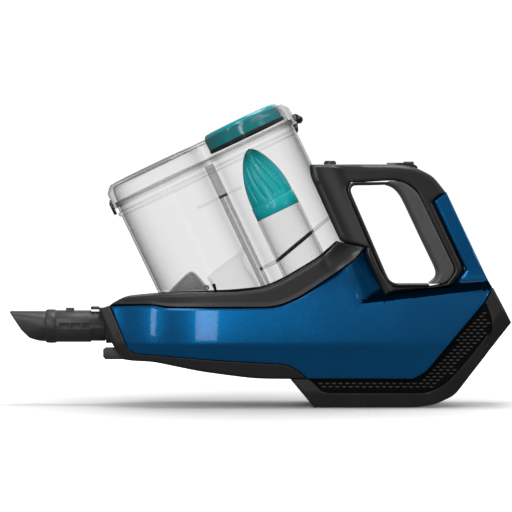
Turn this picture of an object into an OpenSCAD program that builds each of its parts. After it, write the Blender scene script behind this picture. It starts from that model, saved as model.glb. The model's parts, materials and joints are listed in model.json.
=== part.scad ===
// Cordless handheld vacuum standing on its tail frame, with a two-chamber clear bin.
// The nose points along -X, the machine's left side faces -Y and +Z is up.
// The origin lies on the floor plane, midway along the length and the width.

/* [Body] */
// Full width of the painted body
body_width = 120; // [112:1:150]
// Width of the tail frame and of the belly
tail_width = 100; // [84:1:106]
// Width of the nose around the tool socket
nose_width = 52; // [44:1:60]
// Wall of the moulded shells
shell_wall = 2.5; // [2:0.1:3.2]

/* [Handle] */
// Width of the grip
handle_width = 38; // [32:1:46]
// Width of the front column that wraps round the bin
column_width = 54; // [46:1:60]
// Width of the raised band round the finger window
trim_band = 3; // [2:0.5:4]

/* [Bin] */
// Radius of the front dust chamber
front_lobe_r = 52; // [42:0.5:54]
// Radius of the rear cyclone chamber
rear_lobe_r = 48; // [44:0.5:50]
// Height of the cup rim above the bin foot, along the bin axis
bin_height = 130; // [105:1:160]
// Wall of the clear mouldings
clear_wall = 2.2; // [1.6:0.1:3]
// Radius of the outlet tube under the cyclone cone
vortex_r = 23.5; // [18:0.5:26]
// Length of the cyclone cone above its band
cone_length = 56; // [40:1:64]

/* [Crevice tool] */
// Outer radius of the tool tip
tool_r = 15.5; // [13:0.1:15.8]
// Length of the slanted tip in front of the collar
tip_length = 35.5; // [24:0.5:60]
// Flattened width of the tip
tip_width = 24; // [16:1:30]

/* [Drive and power] */
// Diameter of the motor can
motor_diameter = 60; // [48:1:72]
// Length of the motor can
motor_length = 50; // [36:1:56]
// Diameter of one battery cell
cell_diameter = 18.4; // [14:0.1:18.8]
// Length of one battery cell
cell_length = 65; // [50:1:70]

/* [Hidden] */
$fn = 72;

// Clearances
slip = 0.5;
pin_gap = 0.06;
seat_gap = 0.4;
reach = 400;

// Half widths
body_half = body_width / 2;
tail_half = tail_width / 2;
nose_half = nose_width / 2;
handle_half = handle_width / 2;
column_half = column_width / 2;
inlay_half = handle_half + 2;

// Landmarks of the side view, [along the length, height]
nose_top = [-148, 100.5];
nose_mid = [-129.5, 57];
nose_low = [-123, 53];
belly_end = [48, 28.7];
sole_end = [151, 28.7];
sole_turn = [163, 34.5];
tail_notch = [222, 103.8];
back_foot = [230.5, 119];
back_top = [186.2, 212.7];
inlay_top = [174, 203.5];
inlay_knee = [206, 136];
seat_rear = [193.3, 118.8];
seat_mid = [158, 114.7];
seat_front = [124.5, 110.3];
fin_inner = [104, 153];
fin_tip = [105.8, 157.3];

// Edge between the painted shells and the saddle above them
waist_line = [[95, 146], [58, 121], [41, 110], [32, 104.5], [22, 101.5], [10.5, 99.3],
  [-92.5, 99.3], [-104, 102]];
// Edge between the painted shells and the belly cover
belly_line = [[-98, 51.5], [-49, 47.6], [-21, 45.7], [24.5, 43.4], [32, 40.6], [39.5, 36.5]];
// Upper edge of the saddle rim
rim_line = [[-135, 108.5], [-101.6, 111.4], [-28, 114], [3, 117.2], [28.6, 128.5], [61, 147.9],
  [78, 163.7]];

shell_outline = concat([nose_top, nose_mid, nose_low], belly_line, [belly_end, sole_end, sole_turn,
  tail_notch, back_foot, back_top, inlay_top, inlay_knee, seat_rear, seat_mid, seat_front,
  fin_inner, fin_tip], waist_line);
saddle_outline = concat([nose_top], rim_line, [fin_tip], waist_line);
nose_outline = [[-160, 96.2], [-145.6, 61.4], [-134, 46.2], [-125, 45.5], nose_low, nose_mid,
  nose_top];
belly_outline = concat([nose_low, [-125, 45.5], [-104, 45], [-57, 35.8], [-6, 29.1], [28, 28.7],
  belly_end], [for (i = [len(belly_line) - 1:-1:0]) belly_line[i]]);
tail_outline = [[28.8, 28.7], [54.4, 0], [154, 0], [174, 3.2], [193, 11.7], [249, 84],
  back_foot, tail_notch, sole_turn, sole_end];
grille_outline = [[49.5, 28.7], [61.4, 16.7], [66.4, 14.6], [162.7, 14.6], [178, 19.5], [194, 33],
  [227.8, 74], [230.6, 84], tail_notch, sole_turn, sole_end];
handle_outline = [[51, 240.5], [51, 226], [54.6, 219.8], [78, 163.7], fin_tip, fin_inner, seat_front,
  seat_mid, seat_rear, inlay_knee, inlay_top, back_top, [173.3, 228.7], [157.8, 236.8],
  [131, 240.5]];
window_outline = [[94, 219.8], [126.5, 219.8], [140.8, 210], [177.5, 134.6], [177.5, 128.5],
  [169.4, 121.5], [135.7, 121.5], [128.6, 126.4], [90.3, 215]];
liner_outline = [[126.5, 219.8], [131, 224.4], [139.8, 224.4], [158, 212], [196, 134.6],
  [186, 121.5], [169.4, 121.5], [177.5, 128.5], [177.5, 134.6], [140.8, 210]];

// Half widths of the body at stations along its length, and of its section at heights
plan_stations = [[-161, nose_half * 0.94], [-140, nose_half * 1.15], [-118, body_half * 0.74],
  [-95, body_half * 0.92], [-62, body_half], [60, body_half], [150, body_half * 0.97],
  [251, body_half * 0.8]];
section_levels = [[-1, tail_half], [28.7, tail_half], [63, body_half], [reach, body_half]];
shoulder_start = 106;
shoulder_top = 118;
shoulder_low = 102;

// Bin frame: local X runs back along the lid, local Z runs up the bin axis
bin_tilt = 25.5;
front_lobe_x = 9.5;
rear_lobe_x = 103.5;
neck_half = 24;
bin_foot = 111.5;
cup_top = bin_foot + bin_height;
bin_reach = cup_top + 60;
seat_level = 108.5;
seat_bend = 4;
seat_slope = 31;
seat_plate = 3.5;
cyclone_x = 100.7;
inlet_x = 28;
inlet_half = 19;
inlet_top = 146;
outlet_r = vortex_r - 3;
band_low = 166.4;
band_high = 179.6;
divider_top = 203;

// Lid levels along the bin axis
gasket_low = cup_top + 0.5;
gasket_high = gasket_low + 2;
lid_shoulder = gasket_high + 12;
lid_top = lid_shoulder + 6;
cap_x = 105.3;
cap_r = 40.7;
cap_low = gasket_high + 6;
cap_top = cap_low + 16;
hinge_x = rear_lobe_x + rear_lobe_r + 7.5;
hinge_level = cup_top - 1.5;
hinge_pin_r = 1.5;
knuckle_r = 3.6;
knuckle_half = 6;
lug_half = 14;
lug_gap = 0.4;

// Inlet flap
flap_hinge = [-52, 117];
flap_reach = front_lobe_r - 14;
flap_half = 18;
flap_pin_r = 1.2;

// Socket and tool
socket_level = 78.9;
socket_bore_r = 14.4;
socket_wall = 2.6;
socket_front = -152.8;
socket_rear = -98;
spigot_r = socket_bore_r - 0.4;
tool_bore_r = 11.8;
collar_front = -213;
collar_rear = -202;
sleeve_rear = -168;
neck_rear = -154;
spigot_rear = -114;
neck_r = 14.8;
sleeve_r = 15.9;
collar_r = 16.8;
tip_front = collar_front - tip_length;

// Drive train, laid along the length
motor_r = motor_diameter / 2;
motor_level = belly_end[1] + shell_wall + 3 + motor_r;
motor_front = 64;
motor_rear = motor_front + motor_length;
shaft_r = 2.5;
fan_front = 50;

// Battery bay, measured along and out from the sloped tail wall
bay_turn = 49.4;
cell_r = cell_diameter / 2;
cell_pitch = cell_diameter + 1.2;
bay_plate = 2;
cell_first = 10.5;
cell_out = shell_wall + 0.5 + bay_plate + 0.3 + cell_r;

// Screw places: side view position of each, body first and then handle
body_screw_places = [[-60, 56.6], [26, 60], [139.5, 37.2], [211, 107]];
handle_screw_places = [[166, 221], [98, 231.5]];
boss_r = 4;
screw_r = 1.5;
screw_head_r = 2.9;
screw_head_low = 8;
screw_tip = -10;

// ---- Shared construction ----

module side(depth) {
  rotate([90, 0, 0]) linear_extrude(height = depth, center = true) children();
}

module side_from(y_low, y_high) {
  translate([0, y_high, 0]) rotate([90, 0, 0]) linear_extrude(height = y_high - y_low) children();
}

module lengthwise(x_low, x_high) {
  translate([x_low, 0, 0]) rotate([90, 0, 90]) linear_extrude(height = x_high - x_low) children();
}

module rod_x(x_low, x_high, r, level) {
  translate([x_low, 0, level]) rotate([0, 90, 0]) cylinder(h = x_high - x_low, r = r);
}

module rod_y(x, z, y_low, y_high, r) {
  translate([x, y_high, z]) rotate([90, 0, 0]) cylinder(h = y_high - y_low, r = r);
}

module in_bin() {
  rotate([0, -bin_tilt, 0]) children();
}

module mirrored_outline(points) {
  polygon(concat(points, [for (i = [len(points) - 1:-1:0]) [points[i][0], -points[i][1]]]));
}

module half_space(sign) {
  translate([-reach, sign < 0 ? -reach : 0, -reach]) cube([2 * reach, reach, 2 * reach]);
}

// Envelope of the body: plan outline crossed with the section outline
module body_volume(inset = 0) {
  intersection() {
    translate([0, 0, -2]) linear_extrude(height = reach) offset(delta = -inset)
      mirrored_outline(plan_stations);
    lengthwise(-reach, reach) offset(delta = -inset)
      rotate(90) mirrored_outline([for (p = section_levels) [p[0], p[1]]]);
  }
}

// Space above the sloped shoulders, beside the handle
module shoulder_cut(inset = 0) {
  for (sign = [-1, 1])
    mirror([0, (1 - sign) / 2, 0])
      lengthwise(shoulder_start - inset, reach)
        polygon([[inlay_half - inset, shoulder_top - inset], [body_half + 5, shoulder_low - inset],
          [body_half + 5, reach], [inlay_half - inset, reach]]);
}

// Envelope of the handle: its width falls from the front column to the grip
module handle_volume(inset = 0) {
  in_bin() linear_extrude(height = reach) offset(delta = -inset)
    mirrored_outline([[120, column_half], [152, column_half - 1], [172, handle_half],
      [reach, handle_half]]);
}

module lobes(grow = 0) {
  translate([front_lobe_x, 0]) circle(r = front_lobe_r + grow);
  translate([rear_lobe_x, 0]) circle(r = rear_lobe_r + grow);
  translate([front_lobe_x, -neck_half - grow])
    square([rear_lobe_x - front_lobe_x, 2 * (neck_half + grow)]);
}

module bin_prism(grow, low, high) {
  in_bin() translate([0, 0, low]) linear_extrude(height = high - low) lobes(grow);
}

// Everything above the bin seat, lifted by a distance
module above_seat(lift) {
  side(reach) polygon([[-200, seat_level + lift], [seat_bend, seat_level + lift],
    [200, seat_level + lift + (200 - seat_bend) * tan(seat_slope)], [200, reach], [-200, reach]]);
}

module screw_bosses(places, sign) {
  for (p = places) {
    if (sign < 0) rod_y(p[0], p[1], -body_half, 0, boss_r);
    if (sign > 0) rod_y(p[0], p[1], 0, body_half, boss_r + 1);
  }
}

module screw_holes(places) {
  for (p = places) {
    rod_y(p[0], p[1], screw_tip - 1, screw_head_low, screw_r + pin_gap);
    rod_y(p[0], p[1], screw_head_low, body_half + 1, screw_head_r + 0.3);
  }
}

// ---- Body ----

module body_shell(sign) {
  difference() {
    intersection() {
      side(body_width + 2) polygon(shell_outline);
      body_volume();
      half_space(sign);
    }
    shoulder_cut();
    difference() {
      intersection() {
        side(body_width) offset(delta = -shell_wall) polygon(shell_outline);
        body_volume(shell_wall);
      }
      shoulder_cut(shell_wall);
      screw_bosses(body_screw_places, sign);
    }
    shell_openings();
    screw_holes(body_screw_places);
  }
}

// Ways through the shells: under the saddle, round the socket tube and out to the grilles
module shell_openings() {
  saddle_way = body_half - 12;
  side(2 * saddle_way) polygon([[-92, 92], [22, 92], [60, 112], [92, 134], [92, 160], [-92, 108]]);
  rod_x(-170, -110, socket_bore_r + socket_wall, socket_level);
  for (x = [72:14:142])
    translate([x, -20, belly_end[1] - 1]) cube([6, 40, shell_wall + 2]);
}

module body_shell_left() {
  color("steelblue") body_shell(-1);
}

module body_shell_right() {
  color("steelblue") body_shell(1);
}

module saddle() {
  color("dimgray") difference() {
    intersection() {
      side(body_width + 2) polygon(saddle_outline);
      body_volume();
    }
    intersection() {
      bin_prism(slip, 40, bin_reach);
      above_seat(0);
    }
    saddle_underside();
    in_bin() translate([inlet_x, 0, 60]) cylinder(h = 80, r = inlet_half - 3);
    in_bin() translate([cyclone_x, 0, 60]) cylinder(h = 80, r = outlet_r);
  }
}

// Hollow under the seat plate, inside the rims
module saddle_underside() {
  difference() {
    intersection() {
      side(body_width) translate([0, -shell_wall]) polygon(saddle_outline);
      body_volume(shell_wall + 8);
      translate([-95, -reach, 0]) cube([187, 2 * reach, reach]);
    }
    above_seat(-seat_plate);
  }
}

module nose_frame() {
  color("dimgray") difference() {
    intersection() {
      side(body_width) polygon(nose_outline);
      body_volume();
    }
    intersection() {
      translate([4, 0, 0]) side(body_width) polygon(nose_outline);
      body_volume(shell_wall);
      translate([-reach, -reach, 0]) cube([2 * reach, 2 * reach, 93]);
    }
    rod_x(-170, -110, socket_bore_r + socket_wall, socket_level);
    release_pocket();
  }
}

// Pocket over the socket that guides the tool release button
module release_pocket() {
  translate([-161, -6.5, 92]) cube([10.5, 13, 7]);
}

module belly_cover() {
  color("dimgray") difference() {
    intersection() {
      side(tail_width + 6) polygon(belly_outline);
      body_volume();
    }
    translate([0, 0, shell_wall]) intersection() {
      side(tail_width - 12) polygon(belly_outline);
      body_volume(shell_wall);
      translate([-104, -reach, 0]) cube([124, 2 * reach, reach]);
    }
  }
}

module tail_frame() {
  frame_skin = 3;
  rim_depth = 6;
  color("dimgray") difference() {
    intersection() {
      side(tail_width) polygon(tail_outline);
      body_volume();
    }
    side(tail_width - 2 * rim_depth) offset(delta = -frame_skin) polygon(tail_outline);
    side(tail_width + 2) difference() {
      polygon(grille_outline);
      offset(delta = frame_skin) polygon(shell_outline);
    }
    for (sign = [-1, 1])
      side_from(sign < 0 ? -tail_half - 1 : tail_half - rim_depth,
        sign < 0 ? rim_depth - tail_half : tail_half + 1) polygon(grille_outline);
  }
}

module exhaust_grille(sign) {
  panel_out = tail_half - 2;
  panel_in = tail_half - 5;
  slot = [7, 2.2];
  color("black") difference() {
    side_from(sign < 0 ? -panel_out : panel_in, sign < 0 ? -panel_in : panel_out)
      difference() {
        polygon(grille_outline);
        for (row = [0:1])
          for (i = [0:8])
            translate([68 + 10 * i + 5 * row, 18.2 + 5 * row]) square(slot);
        translate(sole_turn) rotate(bay_turn)
          for (row = [0:2])
            for (i = [0:6])
              translate([2 + 10 * i + 5 * (row % 2), -6 - 4.6 * row]) square(slot);
      }
  }
}

module exhaust_grille_left() {
  exhaust_grille(-1);
}

module exhaust_grille_right() {
  exhaust_grille(1);
}

// ---- Handle ----

module trim_outline() {
  difference() {
    offset(delta = trim_band) polygon(window_outline);
    polygon(window_outline);
    polygon(liner_outline);
  }
}

module handle_shell(sign) {
  difference() {
    intersection() {
      side(body_width) handle_ring();
      handle_volume();
      half_space(sign);
    }
    bin_prism(slip, 60, bin_reach);
    difference() {
      intersection() {
        side(body_width) offset(delta = -shell_wall) handle_ring();
        handle_volume(shell_wall);
      }
      bin_prism(slip + shell_wall, 60, bin_reach);
      screw_bosses(handle_screw_places, sign);
      translate([button_centre, 0, spring_low - 3]) cylinder(h = 20, r = button_r + slip + 1.8);
    }
    screw_holes(handle_screw_places);
    switch_pocket();
    button_well();
  }
}

module handle_ring() {
  difference() {
    polygon(handle_outline);
    polygon(window_outline);
    trim_outline();
    polygon(liner_outline);
  }
}

module handle_shell_left() {
  color("darkslategray") handle_shell(-1);
}

module handle_shell_right() {
  color("darkslategray") handle_shell(1);
}

module grip_liner() {
  color("gray") intersection() {
    side(body_width) polygon(liner_outline);
    handle_volume(-0.6);
  }
}

module window_trim() {
  color("gray") intersection() {
    side(body_width) trim_outline();
    handle_volume(-0.6);
  }
}

// Power slider: a bezel let into the handle top with a thumb piece running in it
bezel_low = 232;
bezel_x = [128, 158];
bezel_half = 9;
slider_x = [144.5, 154.5];
slider_half = 5;
slider_stem = [147, 152];

module switch_pocket() {
  translate([bezel_x[0], -bezel_half, bezel_low])
    cube([bezel_x[1] - bezel_x[0], 2 * bezel_half, 20]);
}

module switch_bezel() {
  color("black") difference() {
    side(2 * bezel_half) polygon([[bezel_x[0], bezel_low], [bezel_x[1], bezel_low],
      [bezel_x[1], 238.5], [bezel_x[0] + 24, 242.2], [bezel_x[0], 242.2]]);
    translate([bezel_x[0] + 3, -slider_half - slip, 240])
      cube([bezel_x[1] - bezel_x[0] - 5, 2 * (slider_half + slip), 5]);
    translate([bezel_x[0] + 4, -2.5, bezel_low - 1]) cube([24, 5, 12]);
  }
}

module power_slider() {
  color("dimgray") union() {
    translate([slider_x[0], -slider_half, 240.5])
      cube([slider_x[1] - slider_x[0], 2 * slider_half, 2.9]);
    translate([slider_stem[0], -2, bezel_low + 1])
      cube([slider_stem[1] - slider_stem[0], 4, 10]);
  }
}

// Bin release button over its return spring
button_centre = 71;
button_r = 6.2;
button_low = 232;
button_travel = 3;
spring_low = 224.5;
spring_r = 3.2;
spring_wire = 0.6;

module button_well() {
  translate([button_centre, 0, spring_low - 0.5]) cylinder(h = 30, r = button_r + slip);
}

module bin_release_button() {
  color("dimgray") union() {
    translate([button_centre, 0, button_low]) cylinder(h = 10, r = button_r);
    translate([button_centre, 0, button_low + 10]) cylinder(h = 2.2, r1 = button_r, r2 = button_r - 1);
  }
}

module bin_release_spring() {
  coils = 4;
  rise = (button_low - spring_low) / coils;
  color("silver") for (i = [0:coils - 1])
    translate([button_centre, 0, spring_low + rise * (i + 0.5)])
      rotate_extrude() translate([spring_r, 0]) circle(r = spring_wire, $fn = 24);
}

// ---- Socket, contacts and tool ----

module tool_socket() {
  color("dimgray") difference() {
    rod_x(socket_front, socket_rear, socket_bore_r + socket_wall, socket_level);
    rod_x(socket_front - 1, socket_rear + 1, socket_bore_r, socket_level);
    release_pocket();
  }
}

module inlet_elbow() {
  elbow_r = socket_bore_r + socket_wall;
  leg_r = inlet_half - 1;
  leg_high = 112;
  color("gray") difference() {
    union() {
      rod_x(socket_rear, 10, elbow_r, socket_level);
      in_bin() translate([inlet_x, 0, 74]) cylinder(h = leg_high - 74, r = leg_r);
    }
    rod_x(socket_rear - 1, 6, socket_bore_r, socket_level);
    in_bin() translate([inlet_x, 0, 74]) cylinder(h = 60, r = leg_r - 2.4);
    above_seat(-seat_plate - 0.3);
  }
}

module connector_stub() {
  color("dimgray") difference() {
    side(26) polygon([[-155.4, 56], [-154, 57.2], [-142.4, 57.2], [-134, 46.2], [-153, 46.2],
      [-155.4, 48.6]]);
    for (sign = [-1, 1])
      translate([0, 7 * sign, 0]) rod_x(-160, -146, 2, 51.6);
  }
}

module contact_pins() {
  color("gold") for (sign = [-1, 1])
    translate([0, 7 * sign, 0]) rod_x(-154.4, -146, 2, 51.6);
}

module tool_release_button() {
  color("gray") union() {
    translate([-168, -6, 95.6]) cube([8, 12, 3]);
    translate([-160, -6, 95.6]) cube([9, 12, 1.8]);
  }
}

module tool_tip() {
  color("dimgray") difference() {
    intersection() {
      rod_x(tip_front, collar_front, tool_r, socket_level);
      side_from(-tip_width / 2, tip_width / 2) polygon([[tip_front, 92], [tip_front + 2, 94.5],
        [collar_front, 96], [collar_front, 62], [tip_front + 29, 63.4], [tip_front + 21, 66.3],
        [tip_front + 12, 74.4]]);
    }
    intersection() {
      rod_x(tip_front - 1, collar_front + 1, tool_r - 2.2, socket_level);
      cube([2 * reach, tip_width - 4.4, reach], center = true);
    }
  }
}

module tool_collar() {
  color("dimgray") difference() {
    union() {
      rod_x(collar_front, collar_rear, collar_r - 0.6, socket_level);
      rod_x(collar_front + 2, collar_rear - 2, collar_r, socket_level);
    }
    rod_x(collar_front - 1, collar_rear + 1, tool_bore_r, socket_level);
  }
}

module tool_sleeve() {
  pocket = [10, 1.2, 5.4];
  color("dimgray") difference() {
    union() {
      rod_x(collar_rear, sleeve_rear, sleeve_r, socket_level);
      rod_x(sleeve_rear, neck_rear, neck_r, socket_level);
      rod_x(neck_rear, spigot_rear, spigot_r, socket_level);
      translate([-193, -4, 92]) cube([8, 8, 5.2]);
    }
    rod_x(collar_rear - 1, spigot_rear + 1, tool_bore_r, socket_level);
    for (sign = [-1, 1])
      for (i = [0:2])
        translate([-198.6 + 11.4 * i, sign * (sleeve_r - pocket[1] / 2) - pocket[1] / 2, 77])
          cube(pocket);
  }
}

// ---- Drive ----

module motor_can() {
  color("silver") difference() {
    rod_x(motor_front, motor_rear, motor_r, motor_level);
    rod_x(motor_front + 2, motor_rear - 2, motor_r - 2, motor_level);
    rod_x(motor_front - 1, motor_rear + 1, shaft_r + 2, motor_level);
  }
}

module motor_stator() {
  color("slategray") difference() {
    rod_x(motor_front + 12, motor_rear - 12, motor_r - 2, motor_level);
    rod_x(motor_front + 11, motor_rear - 11, motor_r * 0.42, motor_level);
  }
}

module fan_shroud() {
  color("gray") difference() {
    rod_x(fan_front - 4, motor_front, motor_r, motor_level);
    rod_x(fan_front - 1.5, motor_front + 1, motor_r - 2, motor_level);
    rod_x(fan_front - 5, fan_front, motor_r * 0.5, motor_level);
  }
}

module motor_mount(x_low, x_high) {
  color("black") difference() {
    rod_x(x_low, x_high, motor_r + 2, motor_level);
    rod_x(x_low - 1, x_high + 1, motor_r, motor_level);
  }
}

module motor_mount_front() {
  motor_mount(motor_front + 2, motor_front + 10);
}

module motor_mount_rear() {
  motor_mount(motor_rear - 10, motor_rear - 2);
}

module motor_cradle() {
  foot = belly_end[1] + shell_wall;
  color("gray") difference() {
    union() {
      translate([motor_front + 3, -motor_r - 4, foot]) cube([6, 2 * motor_r + 8, motor_level - foot]);
      translate([motor_rear - 9, -motor_r - 4, foot]) cube([6, 2 * motor_r + 8, motor_level - foot]);
      translate([motor_front + 3, -motor_r, foot]) cube([motor_length - 12 + 6, 12, 4]);
      translate([motor_front + 3, motor_r - 12, foot]) cube([motor_length - 12 + 6, 12, 4]);
    }
    rod_x(motor_front, motor_rear, motor_r + 2, motor_level);
    rod_x(motor_front + 10, motor_rear - 10, motor_r + 2, motor_level);
  }
}

module rotor_shaft() {
  color("silver") union() {
    rod_x(fan_front + 0.5, motor_rear + 3, shaft_r, motor_level);
    rod_x(motor_front + 12, motor_rear - 12, motor_r * 0.42 - 0.6, motor_level);
  }
}

module fan_impeller() {
  blades = 9;
  color("white") difference() {
    union() {
      rod_x(fan_front + 9.5, fan_front + 11.5, motor_r - 3.5, motor_level);
      rod_x(fan_front + 2, fan_front + 10, shaft_r + 4, motor_level);
      translate([fan_front + 2, 0, motor_level])
        for (i = [0:blades - 1])
          rotate([360 / blades * i, 0, 0]) translate([0, -0.7, shaft_r + 2])
            cube([8, 1.4, motor_r - 4.5 - shaft_r - 2]);
    }
    rod_x(fan_front, motor_front, shaft_r, motor_level);
  }
}

// Filter under the saddle outlet, on the bin axis, set higher over a thicker motor
filter_low = 57 + motor_r / 2;
filter_high = filter_low + 16;
filter_r = 26;

module filter_frame() {
  color("dimgray") in_bin() translate([cyclone_x, 0, 0]) difference() {
    translate([0, 0, filter_low]) cylinder(h = filter_high + 3 - filter_low, r = filter_r + 2);
    translate([0, 0, filter_low + 2]) cylinder(h = 30, r = filter_r);
    translate([0, 0, filter_low - 1]) cylinder(h = 30, r = filter_r - 4);
  }
}

module filter_foam() {
  color("whitesmoke") in_bin() translate([cyclone_x, 0, filter_low + 2])
    cylinder(h = filter_high - filter_low - 2, r = filter_r);
}

// ---- Power ----

module at_cell(index) {
  row = index < 4 ? 0 : 1;
  along = cell_first + cell_pitch * (row == 0 ? index : index - 3.5);
  out = cell_out + row * cell_pitch * sin(60);
  place = [sole_turn[0] + along * cos(bay_turn) - out * sin(bay_turn),
    sole_turn[1] + along * sin(bay_turn) + out * cos(bay_turn)];
  translate([place[0], 0, place[1]]) rotate([90, 0, 0]) children();
}

module battery_cell(index) {
  color("royalblue") at_cell(index) union() {
    cylinder(h = cell_length - 1, r = cell_r, center = true);
    cylinder(h = cell_length + 0.6, r = cell_r * 0.4, center = true);
  }
}

module battery_cell_1() {
  battery_cell(0);
}

module battery_cell_2() {
  battery_cell(1);
}

module battery_cell_3() {
  battery_cell(2);
}

module battery_cell_4() {
  battery_cell(3);
}

module battery_cell_5() {
  battery_cell(4);
}

module battery_cell_6() {
  battery_cell(5);
}

module battery_cell_7() {
  battery_cell(6);
}

module battery_cradle() {
  plate_y = cell_length / 2 + 0.4;
  bay_low = cell_first - cell_r - 1;
  bay_long = 3 * cell_pitch + cell_diameter + 2;
  color("dimgray") translate([sole_turn[0], 0, sole_turn[1]]) rotate([0, -bay_turn, 0]) union() {
    translate([bay_low, -plate_y - 2, shell_wall + 0.5]) cube([bay_long, 2 * plate_y + 4, bay_plate]);
    for (y = [-plate_y - 2, plate_y])
      translate([bay_low, y, shell_wall + 0.5]) cube([bay_long, 2, cell_diameter * 0.9]);
  }
}

module control_board() {
  board_x = motor_rear + 8;
  color("green") union() {
    translate([board_x, -26, belly_end[1] + shell_wall]) cube([1.6, 52, 56]);
    translate([board_x + 1.6, -18, 62]) cube([4, 14, 12]);
    translate([board_x + 1.6, 4, 58]) cube([3, 10, 18]);
  }
}

module body_screws() {
  color("silver") for (p = concat(body_screw_places, handle_screw_places)) {
    rod_y(p[0], p[1], screw_tip, screw_head_low, screw_r);
    rod_y(p[0], p[1], screw_head_low, screw_head_low + 2, screw_head_r);
  }
}

// ---- Bin ----

module dust_cup() {
  floor_lift = seat_gap + clear_wall;
  color("lightgray") difference() {
    union() {
      intersection() {
        bin_prism(0, 40, cup_top);
        above_seat(seat_gap);
      }
      bin_prism(2.4, cup_top - 12, cup_top - 8);
      hinge_lugs();
    }
    intersection() {
      bin_prism(-clear_wall, 40, cup_top + 1);
      above_seat(floor_lift);
    }
    in_bin() translate([inlet_x, 0, 60]) cylinder(h = 62, r = inlet_half - 3);
    in_bin() translate([cyclone_x, 0, 60]) cylinder(h = 80, r = outlet_r);
  }
}

// Two lugs behind the cyclone chamber that carry the lid pin
module hinge_lugs() {
  wall_x = rear_lobe_x + rear_lobe_r - 6;
  for (sign = [-1, 1])
    mirror([0, (1 - sign) / 2, 0])
      in_bin() difference() {
        union() {
          translate([hinge_x, lug_half, hinge_level]) rotate([90, 0, 0])
            cylinder(h = lug_half - knuckle_half - lug_gap, r = knuckle_r);
          translate([wall_x, knuckle_half + lug_gap, hinge_level - 9])
            cube([hinge_x - wall_x, lug_half - knuckle_half - lug_gap, 7.4]);
        }
        translate([hinge_x, lug_half + 1, hinge_level]) rotate([90, 0, 0])
          cylinder(h = lug_half + 2, r = hinge_pin_r);
      }
}

module lid_hinge_pin() {
  color("silver") in_bin() translate([hinge_x, lug_half, hinge_level]) rotate([90, 0, 0])
    cylinder(h = 2 * lug_half, r = hinge_pin_r);
}

module inside_cup() {
  intersection() {
    children();
    bin_prism(-clear_wall, 40, cup_top - 2);
    above_seat(seat_gap + clear_wall);
  }
}

module bin_divider() {
  color("lightgray") inside_cup()
    in_bin() translate([57, -reach / 2, 60]) cube([2.4, reach, divider_top - 60]);
}

module baffle_plate() {
  color("lightgray") intersection() {
    in_bin() translate([30, -20, divider_top]) cube([48, 40, 2.2]);
    bin_prism(-clear_wall, 40, cup_top);
  }
}

module bin_inlet_duct() {
  color("lightgray") difference() {
    inside_cup() in_bin() side_from(-inlet_half, inlet_half)
      polygon([[inlet_x - inlet_half, 60], [inlet_x + inlet_half, 60],
        [inlet_x + inlet_half, inlet_top], [inlet_x - inlet_half, inlet_top - 8]]);
    in_bin() translate([inlet_x, 0, 60]) cylinder(h = 120, r = inlet_half - 3);
    flap_pin_hole();
  }
  color("lightgray") flap_lugs();
}

// Lugs on the front wall of the duct that carry the flap pin
module flap_lugs() {
  for (sign = [-1, 1])
    mirror([0, (1 - sign) / 2, 0])
      difference() {
        side_from(flap_half - 4, flap_half) polygon([[-38, 122], [-38, 113], [-54.5, 113],
          [-55, 119], [-50, 122]]);
        flap_pin_hole();
        in_bin() translate([inlet_x - inlet_half, -reach / 2, 0]) cube([60, reach, reach]);
      }
}

module flap_pin_hole() {
  rod_y(flap_hinge[0], flap_hinge[1], -flap_half - 1, flap_half + 1, flap_pin_r);
}

module flap_pin() {
  color("silver") rod_y(flap_hinge[0], flap_hinge[1], -flap_half, flap_half, flap_pin_r);
}

// Outline of the flap: parts of its reach in front of the pin, and heights
module flap_outline(points) {
  polygon([for (p = points) [flap_hinge[0] - p[0] * flap_reach, p[1]]]);
}

module inlet_flap() {
  flap_in = flap_half - 4.4;
  color("dimgray") difference() {
    union() {
      side(2 * flap_in) difference() {
        flap_outline([[1, 113.5], [0.79, 122], [0.58, 130], [0.395, 133.6], [0.29, 130.5],
          [0.053, 120], [0, 116], [0.08, 116]]);
        flap_outline([[0.93, 113], [0.763, 120], [0.553, 128], [0.395, 131.2], [0.32, 128.8],
          [0.105, 119], [0.08, 113]]);
      }
      rod_y(flap_hinge[0], flap_hinge[1], -flap_in, flap_in, flap_pin_r + 1.4);
    }
    rod_y(flap_hinge[0], flap_hinge[1], -flap_half, flap_half, flap_pin_r + pin_gap);
  }
}

module cyclone_floor() {
  color("lightgray") difference() {
    inside_cup() in_bin() side(2 * rear_lobe_r)
      polygon([[59.4, 121], [77.5, 121], [152, 140], [152, 142.2], [77.5, 123.2], [59.4, 123.2]]);
    in_bin() translate([cyclone_x, 0, 60]) cylinder(h = 120, r = vortex_r);
  }
}

module vortex_tube() {
  color("lightgray") difference() {
    inside_cup() in_bin() translate([cyclone_x, 0, 60]) cylinder(h = band_low - 60, r = vortex_r);
    in_bin() translate([cyclone_x, 0, 50]) cylinder(h = 130, r = vortex_r - 2);
  }
}

module cyclone_cone() {
  cone_tip = band_high + cone_length;
  cone_r = vortex_r - 0.5;
  color("darkturquoise") in_bin() translate([cyclone_x, 0, 0]) rotate_extrude()
    polygon([[cone_r - 2, band_low], [cone_r, band_low], [cone_r, band_high],
      [cone_r * 0.9, band_high + cone_length * 0.36], [cone_r * 0.63, band_high + cone_length * 0.72],
      [cone_r * 0.27, cone_tip - 2.4], [0, cone_tip], [0, cone_tip - 3],
      [cone_r * 0.5, band_high + cone_length * 0.7], [cone_r * 0.8, band_high + cone_length * 0.35],
      [cone_r - 2, band_high]]);
}

// ---- Lid ----

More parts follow.
